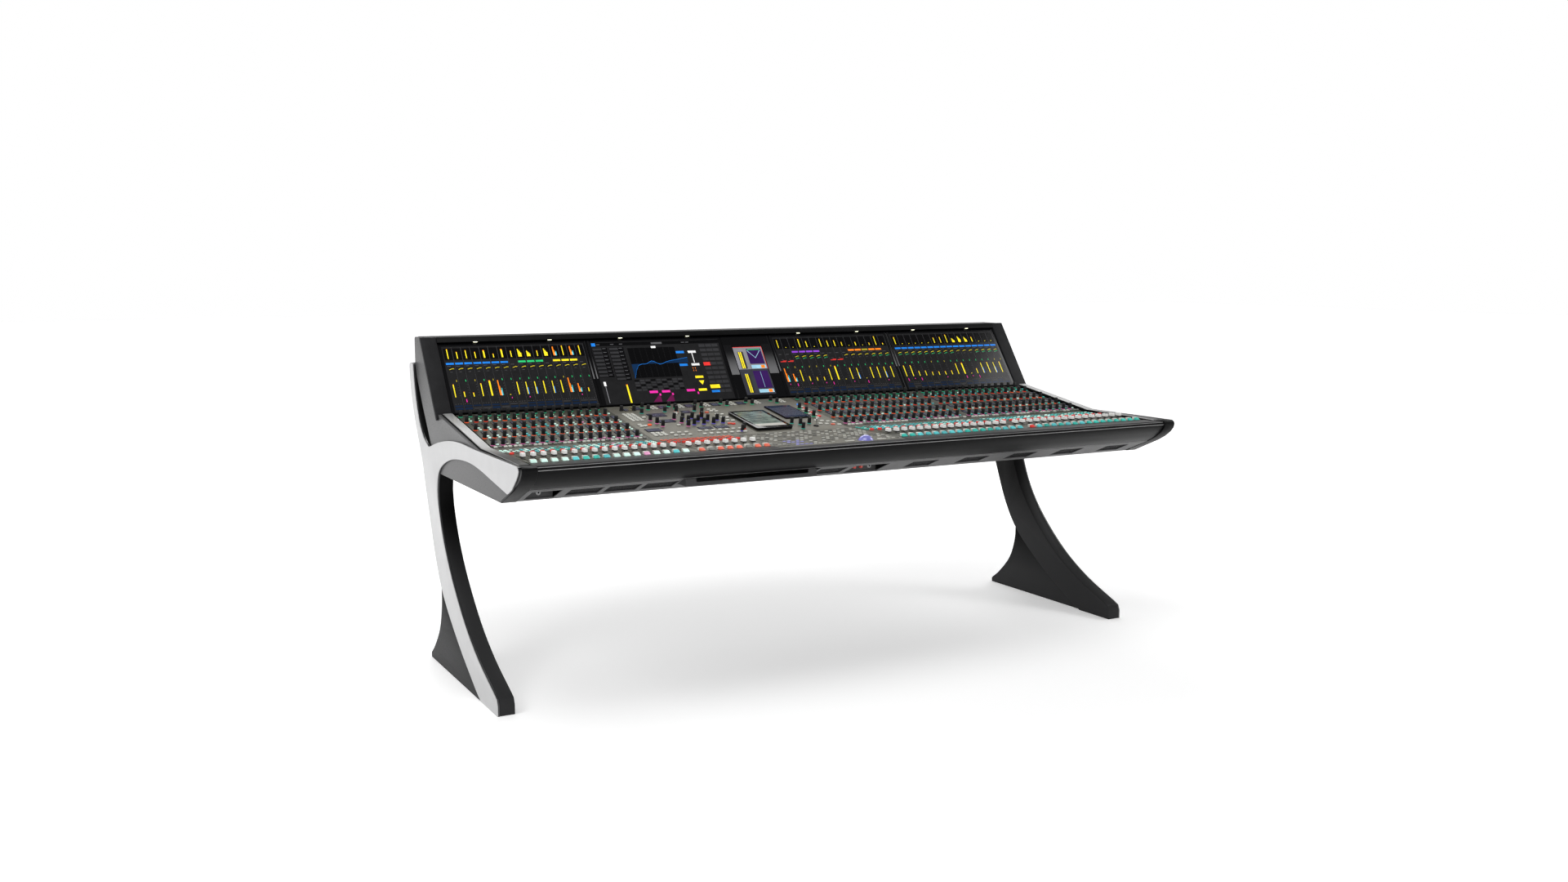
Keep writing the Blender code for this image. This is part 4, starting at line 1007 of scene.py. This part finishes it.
def accents(page):
    """Coloured tiles, the fader line, the meter, and the two routing triangles."""
    for name, corners in {
            "ui_blue": ((0.3020, 0.0580), (0.3020, 0.1095), (0.3930, 0.2195)),
            "ui_white": ((0.3470, 0.0580), (0.3470, 0.1095)),
            "ui_magenta": ((0.1640, 0.2110), (0.2090, 0.2110), (0.3010, 0.2110)),
            "ui_yellow": ((0.3470, 0.1600), (0.3460, 0.2110))}.items():
        for x, v in corners:
            page.tile(x, v, x + 0.0300, v + 0.0090, name)
    page.tiles((0.2150, 0.0345, 0.2320, 0.0425, "ui_white"),
               (0.3930, 0.1065, 0.4180, 0.1200, "ui_red"),
               (0.3930, 0.1975, 0.4290, 0.2120, "ui_yellow"),
               (0.3590, 0.0670, 0.3620, 0.1060, "ui_white"))
    page.polygon([(0.3560, 0.1790), (0.3760, 0.1790), (0.3660, 0.1960)], "ui_yellow", 0.00035)
    page.tiles((0.0130, 0.1670, 0.0150, 0.2500, "ui_grey"),
               (0.0100, 0.1690, 0.0180, 0.1850, "ui_white", 0.0005),
               (0.0870, 0.1850, 0.0930, 0.2530, "ui_yellow"),
               (0.0870, 0.1820, 0.0930, 0.1850, "ui_orange"))
    for x in (0.1680, 0.2140):
        page.polygon([(x, 0.2550), (x + 0.0320, 0.2230), (x + 0.0320, 0.2550)], "ui_plum", 0.00035)
        page.tile(x + 0.0290, 0.2230, x + 0.0350, 0.2310, "ui_magenta", 0.0005)
    page.tile(0.3380, 0.2230, 0.3430, 0.2320, "ui_magenta", 0.0005)
    for step in range(12):
        x, v = 0.3480 + 0.0028 * (step % 6), 0.1250 + 0.0100 * (step // 6)
        page.tile(x, v, x + 0.0014, v + 0.0060, "ui_orange" if step % 3 == 0 else "ui_tile")


def meter_screen():
    """The portrait loudness screen: two scopes, two pairs of bars and their label bars."""
    low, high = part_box("meter_display")
    page = Page((low[0] + high[0]) / 2)
    left, right, top, middle, foot = -0.0600, 0.0540, 0.0500, 0.1420, 0.2460
    # painted reflection on the glass beside the portrait screen, lighter towards its lower end
    for x0, x1 in ((-0.0930, left - 0.003), (right + 0.003, 0.0930)):
        page.tile(x0, top - 0.010, x1, 0.1620, "glass_painted_reflection", 0.00010)
    page.tiles((left, top, right, middle, "ui_grey", 0.00012),
               (left, middle, right, foot, "ui_slate", 0.00012),
               (left, top, right, top + 0.0022, "ui_red", 0.0002),
               (right - 0.0014, top, right, middle, "ui_red", 0.0003))
    for v, tall in ((0.0590, 0.0620), (0.1500, 0.0700)):
        page.tiles((-0.0100, v, 0.0480, v + tall, "ui_scope", 0.0003),
                   (-0.0080, v + tall + 0.0050, 0.0500, v + tall + 0.0190, "ui_sky", 0.0003),
                   (0.0290, v + tall + 0.0060, 0.0440, v + tall + 0.0180, "ui_orange"),
                   (-0.0470, v + 0.010, -0.0250, v + tall + 0.019, "ui_tile", 0.0002))
        for x in (-0.0440, -0.0370):
            page.tiles((x, v + 0.012, x + 0.0044, v + tall + 0.0170, "ui_yellow"),
                       (x, v + 0.009, x + 0.0044, v + 0.012, "ui_grey"))
    for sign in (-1, 1):
        page.polygon([(0.018, 0.098), (0.018 + sign * 0.026, 0.066),
                      (0.018 + sign * 0.024, 0.065), (0.018, 0.095)], "ui_sky")
    page.tiles((-0.0060, 0.0610, 0.0440, 0.0640, "ui_green"),
               (0.0186, 0.1530, 0.0198, 0.2170, "ui_sky"))
    page.made("screen_meters", "desk", "display_glass")


def reflection_strips():
    """Strips of painted reflection on the glass between the screens, lighter towards their lower
    ends.
    """
    page = Page(0.0)
    for x in (-0.6025, -0.5905, 0.0875, 0.0995, 0.5895, 0.6015):
        page.tile(x, 0.0060, x + 0.0042, 0.1550, "glass_painted_reflection", 0.0006)
    page.made("screen_reflection_strips", "desk")


def sheets(shape, place, *rows):
    """Thin rectangles in a place: corners low and high, from and to heights, look."""
    for x0, y0, x1, y1, low, high, name in rows:
        shape.box((x0, y0, low), (x1, y1, high), name, place)


def deck_screens():
    """Pages on the tablet and on the touch display set into the deck."""
    low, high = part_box("tablet")
    page = Shape()
    place = deck((low[0] + high[0]) / 2, 0.1290, 0.0096)
    sheets(page, place, (-0.0520, -0.0870, 0.0520, 0.0900, 0.0, 0.0002, "edge_grey"),
           (-0.0510, -0.0860, 0.0510, 0.0890, 0.0001, 0.0004, "tablet_page"),
           (-0.0510, -0.0860, 0.0510, -0.0600, 0.0002, 0.0006, "tablet_foot"))
    for row in range(7):
        v = 0.0760 - 0.0180 * row
        wide = random.uniform(0.3, 0.9)
        sheets(page, place, (-0.0470, v - 0.006, -0.0470 + 0.094 * wide, v, 0.0002, 0.0006,
                             "tablet_mark"))
    page.made("tablet_page", "desk", "display_glass")
    low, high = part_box("touch_display")
    touch = Shape()
    sheets(touch, deck((low[0] + high[0]) / 2, 0.2170, 0.0041),
           (-0.0450, -0.0740, 0.0450, 0.0740, 0.0, 0.0002, "touch_navy"),
           (-0.0410, -0.0680, 0.0410, -0.0570, 0.0001, 0.0004, "ui_dim_blue"),
           (-0.0410, 0.0560, 0.0410, 0.0670, 0.0001, 0.0004, "ui_dim_blue"))
    touch.made("touch_page", "desk", "display_glass")


# ---------------------------------------------------------------- trim

LAMPS = (-0.971, -0.721, -0.471, -0.221, 0.221, 0.471, 0.721, 0.971)


def lamps():
    """Eight small cream lamps on the front lip of the bridge's top rail."""
    shape = Shape()
    for x in LAMPS:
        place = glass(x) @ Matrix.Translation((0.0, 0.0035, 0.0))
        shape.slab(rounded(0.0160, 0.0090, 0.0034), 0.0080, "lamp_cream", place, 0.0012)
        shape.slab(rounded(0.0190, 0.0110, 0.0036), 0.0030, "cap_black", place, 0.0006)
    shape.made("bridge_lamps", "desk")


GRILLES = (-0.918, -0.805, -0.692, -0.131, 0.203, 0.400, 0.595, 0.790, 0.988)
GRILLE_WIDTH = 0.104
PANEL_HEAD = Vector((0.0, -0.4670, 0.6598))
PANEL_FOOT = Vector((0.0, -0.3615, 0.6168))


def grilles():
    """Expanded-metal sheets behind the windows of the slanted panel."""
    along = (PANEL_FOOT - PANEL_HEAD).normalized()
    inward = Vector((0.0, -along.z, along.y))
    middle = (PANEL_HEAD + PANEL_FOOT) / 2
    shape = Shape()
    half_x, half_y = GRILLE_WIDTH / 2, 0.0370
    pitch, wire = 0.0044, 0.0006
    turn = Matrix(((1, 0, 0, 0), (0, along.y, inward.y, 0), (0, along.z, inward.z, 0),
                   (0, 0, 0, 1)))
    for centre in GRILLES:
        place = Matrix.Translation((centre, middle.y, middle.z)) @ turn
        place = place @ Matrix.Translation((0.0, 0.0, 0.0034))
        shape.box((-half_x, -half_y, 0.0016), (half_x, half_y, 0.0022), "cap_black", place)
        steps = int((half_x + half_y) / pitch)
        for step in range(-steps, steps + 1):
            for sign in (-1, 1):
                start = clipped(step * pitch, sign, half_x, half_y)
                if start:
                    (x0, y0), (x1, y1) = start
                    polygon_bar(shape, x0, y0, x1, y1, wire, place)
    shape.made("grille_sheets", "desk")


def clipped(offset, sign, half_x, half_y):
    """The ends of a 45-degree line inside a rectangle, or None."""
    low = max(-half_y, (-half_x - offset) * sign if sign > 0 else (half_x - offset) * sign)
    high = min(half_y, (half_x - offset) * sign if sign > 0 else (-half_x - offset) * sign)
    if high - low < 0.002:
        return None
    return (offset + sign * low, low), (offset + sign * high, high)


def polygon_bar(shape, x0, y0, x1, y1, wire, place):
    """One wire of a grille sheet, between two points."""
    outline = [(x0 - wire, y0), (x0 + wire, y0), (x1 + wire, y1), (x1 - wire, y1)]
    rings = [[(x, y, z) for x, y in outline] for z in (0.0002, 0.0008)]
    shape.loft(rings, "cheek_paint", place)


def sockets():
    """Sockets with steel nuts in the two pockets, and the two red level knobs."""
    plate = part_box("headphone_pocket")[1][1] - 0.0025
    turn = Matrix.Rotation(math.pi / 2, 4, "X")
    shape = Shape()
    for x in (-1.0350, 0.0390):
        place = Matrix.Translation((x, plate, 0.6385)) @ turn
        ring_band(shape, 0.0034, 0.0074, 0.0020, "edge_grey", place, 24)
        ring_band(shape, 0.0034, 0.0052, 0.0034, "bare_steel", place, 6)
    shape.made("headphone_sockets", "desk")
    for index, x in enumerate((-0.0180, 0.0060), start=1):
        node = f"headphone_knob_{index}"
        knob = Shape()
        place = Matrix.Translation((x, plate, 0.6385)) @ turn
        profile = [(0.0019, -0.0088), (0.0019, 0.0004), (0.0050, 0.0005), (0.0052, 0.0036),
                   (0.0049, 0.0092), (0.0040, 0.0103)]
        knob.turned(profile, "knob_red", place, 20, grip=0.06)
        knob.box((-0.0004, 0.0010, 0.0100), (0.0004, 0.0046, 0.0106), "mark_white", place)
        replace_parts(knob.made(node + "_cap", node, "knob_red"), node)


# ---------------------------------------------------------------- CAD surfaces

def refined(node, material, width, body="desk"):
    """The CAD node's own surface with its edges rounded and its curves shaded smooth."""
    source = frame["nodes"][node]
    mesh = source.data.copy()
    mesh.name = node + "_surface"
    mesh_bm = bmesh.new()
    mesh_bm.from_mesh(mesh)
    bmesh.ops.remove_doubles(mesh_bm, verts=mesh_bm.verts, dist=0.00002)
    bmesh.ops.dissolve_limit(mesh_bm, angle_limit=math.radians(0.6), verts=mesh_bm.verts,
                             edges=mesh_bm.edges)
    mesh_bm.to_mesh(mesh)
    mesh_bm.free()
    mesh.materials.clear()
    mesh.materials.append(material)
    mesh.shade_smooth()
    piece = bpy.data.objects.new(node + "_surface", mesh)
    bpy.context.scene.collection.objects.link(piece)
    bevel = piece.modifiers.new("edges", "BEVEL")
    bevel.width = width
    bevel.segments = 3
    bevel.limit_method = "ANGLE"
    bevel.angle_limit = math.radians(30.0)
    bevel.harden_normals = True
    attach(piece, body)
    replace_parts(piece, node)


PLAIN = {
    # look: the CAD nodes that only get a material
    "black_paint": ("rear_shell", "base_pan"),
    "panel_grey": ("vent_panel",),
    "pocket_grey": ("headphone_pocket", "monitor_pocket"),
    "bare_steel": ("cross_beam", "power_supply", "bridge_frame", "drawer_guide"),
    "circuit_green": ("control_board",),
    "knob_black": ("joystick_gimbal",),
    "glass_black": ("touch_display", "channel_display_left", "main_display", "meter_display",
                    "channel_display_right_inner", "channel_display_right_outer"),
    "deck_metal": ("deck_left", "deck_right_inner", "deck_right_outer"),
    "centre_metal": ("deck_centre",),
}


def dress_frame():
    """Gives each CAD node its material, and rounds the ones whose edges show."""
    white = cover_paint()
    for side in ("left", "right"):
        refined("leg_cover_" + side, white, 0.0024)
        for node, name, width, slot in (("leg_", "leg_painted_light", 0.0020, "black_casting"),
                                        ("leg_foot_", "foot_painted_light", 0.0016, "black_casting"),
                                        ("end_block_", "black_paint", 0.0012, "black_casting"),
                                        ("side_panel_", "grey_paint", 0.0012, "grey_paint"),
                                        ("bridge_cheek_", "cheek_paint", 0.0014, "black_paint")):
            refined(node + side, look(name), width)
    refined("front_rail", look("black_paint"), 0.0008)
    refined("bridge_top_rail", look("black_paint"), 0.0008)
    refined("keyboard_drawer", look("drawer_grey"), 0.0005, "keyboard_drawer")
    refined("tablet", look("glass_black"), 0.0008)
    for name, nodes in PLAIN.items():
        for node in nodes:
            for material_slot in frame["nodes"][node].material_slots:
                material_slot.material = look(name)


# ---------------------------------------------------------------- rails and hand rests

# How high the side ridges stand above the deck, by u.
RIDGE = ((-0.3390, 0.0036), (-0.2200, 0.0060), (-0.1000, 0.0080), (0.0, 0.0092),
         (0.3900, 0.0092))


def side_ridges():
    """The raised metal strips beside the deck, with black walls and a brushed top."""
    walls = ["black_paint", "edge_grey", "rail_painted_shade_metal", "edge_grey", "black_paint", "black_paint"]
    outer, inner, ease = 1.1287, 1.0985, 0.0012
    for side, sign in (("left", -1), ("right", 1)):
        shape = Shape()
        stations = []
        for u, height in RIDGE:
            y = KNEE_Y + u
            base = DECK_Z + max(0.0, u) * DECK_SLOPE
            top, foot = base + height, base - 0.0120
            section = [(outer, foot), (outer, top - ease), (outer - ease, top),
                       (inner + ease, top), (inner, top - ease), (inner, foot)]
            section = [(sign * x, y, z) for x, z in section]
            stations.append(section if sign < 0 else list(reversed(section)))
        shape.skin(stations, lambda level, index: walls[index])
        node = "side_rail_" + side
        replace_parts(shape.made(node + "_ridge", "desk", "rail_silver"), node)


# Painted highlight lines along the front rail: (y, z) of the upper and lower edge, y without the
# shift below.
HIGHLIGHT_LINES = (((-0.2368, 0.73385), (-0.2382, 0.73315)), ((-0.24025, 0.72620), (-0.24055, 0.72440)),
         ((-0.1650, 0.66265), (-0.1632, 0.66175)))
HIGHLIGHT_SHIFT = -0.307
HIGHLIGHT_HALF = 0.0004


def rail_highlight_lines():
    """Painted highlight lines along the front rail, as light grey strips: two at its nose and one
    at its lower edge.
    """
    shape = Shape()
    edge = 1.0950
    for upper, lower in HIGHLIGHT_LINES:
        along = Vector((0.0, lower[0] - upper[0], lower[1] - upper[1])).normalized()
        out = Vector((0.0, along.z, -along.y)) * HIGHLIGHT_HALF
        head, foot = [Vector((0.0, y + HIGHLIGHT_SHIFT, z)) for y, z in (upper, lower)]
        section = [head - out, foot - out, foot + out, head + out]
        shape.skin([[(x, point.y, point.z) for point in section] for x in (-edge, edge)],
                   lambda level, index: "edge_grey")
    shape.made("front_rail_highlight_lines", "desk")


def hand_rest():
    """Three satin strips in front of the lit keys, low on the deck."""
    shape = Shape()
    front, rear, centre_rear = -0.3540, -0.3030, -0.3380
    for low, high, back in ((-1.0900, -0.3450, rear), (-0.3450, 0.1000, centre_rear),
                            (0.1000, 1.0900, rear)):
        shape.slab([(low, front), (high, front), (high, back), (low, back)], 0.0010,
                   "rest_grey", Matrix.Translation((0.0, KNEE_Y, DECK_Z)), 0.0, 0.00008)
    shape.made("hand_rests", "desk")


# ---------------------------------------------------------------- stage

def area_light(name, place, target, size, power):
    """A rectangular light aimed at a point."""
    data = bpy.data.lights.new(name, "AREA")
    data.shape = "RECTANGLE"
    data.size, data.size_y = size
    data.energy = power
    light = bpy.data.objects.new(name, data)
    bpy.context.scene.collection.objects.link(light)
    light.location = place
    aim = Vector(target) - Vector(place)
    light.rotation_euler = aim.to_track_quat("-Z", "Y").to_euler()


def studio_sky():
    """White surroundings near the horizon and a dim ceiling overhead."""
    world = bpy.data.worlds.new("studio")
    bpy.context.scene.world = world
    world.use_nodes = True
    nodes, links = world.node_tree.nodes, world.node_tree.links
    height = eased(nodes, links, coordinate(nodes, links, "Z", "Generated"), 0.22, 0.50)
    mix = mixed(nodes, links, height, (1.0, 1.0, 1.0))
    mix.inputs["B"].default_value = (0.22, 0.22, 0.22, 1.0)
    links.new(mix.outputs["Result"], nodes["Background"].inputs["Color"])


def floor_glow_painted_shade(material):
    """Makes the floor's glow rise to white a few metres away; the dimmer glow near the desk is a
    painted shadow pool.
    """
    nodes, links = material.node_tree.nodes, material.node_tree.links
    place = nodes.new("ShaderNodeTexCoord")
    reach = nodes.new("ShaderNodeVectorMath")
    reach.operation = "LENGTH"
    links.new(place.outputs["Object"], reach.inputs[0])
    glow = eased(nodes, links, reach.outputs["Value"], 1.2, 4.0, 0.34, 0.86)
    links.new(glow, nodes["Principled BSDF"].inputs["Emission Strength"])


def stage():
    """Pale floor, white surroundings and large soft lights."""
    bpy.ops.mesh.primitive_plane_add(size=60.0, location=(0.0, 0.0, 0.0))
    floor = bpy.context.object
    floor.name = "floor"
    floor.data.materials.append(surface("floor_pale", (0.93, 0.93, 0.93), 0.6, vary=0.004,
                                        bump=0.0, glow=0.36, shine=0.1))
    floor_glow_painted_shade(floor.data.materials[0])
    studio_sky()
    area_light("key", (-1.6, -1.4, 4.2), (0.0, 0.1, 0.6), (3.0, 2.0), 75.0)
    for side in (-1, 1):
        area_light("side", (side * 3.2, -0.6, 2.6), (side * 0.6, 0.0, 0.0), (1.2, 1.2), 24.0)
    area_light("rear", (0.8, 2.6, 3.4), (0.0, 0.2, 0.8), (4.0, 1.2), 60.0)
    bpy.context.scene.view_settings.view_transform = "Standard"


LOOK_DOWN = 7.244
LOOK_ASIDE = -28.897


def camera():
    """The photograph's camera, as solved from its straight lines and corners."""
    data = bpy.data.cameras.new("camera")
    data.sensor_width = 36.0
    data.lens = 32.175
    view = bpy.data.objects.new("camera", data)
    bpy.context.scene.collection.objects.link(view)
    view.location = (-2.2814, -4.0254, 1.2646)
    view.rotation_euler = (math.radians(90.0 - LOOK_DOWN), 0.0, math.radians(LOOK_ASIDE))
    bpy.context.scene.camera = view


def build():
    """Makes everything; the random draws follow this order."""
    camera()
    stage()
    dress_frame()
    for bay in BAYS:
        strip_knobs(bay)
        strip_keys(bay)
        strip_displays(bay)
    faders()
    lit_key_rows()
    centre_rows()
    monitor_rows()
    master_front()
    deck_singles()
    joystick()
    channel_screens()
    main_screen()
    meter_screen()
    reflection_strips()
    deck_screens()
    lamps()
    grilles()
    sockets()
    side_ridges()
    rail_highlight_lines()
    hand_rest()


build()
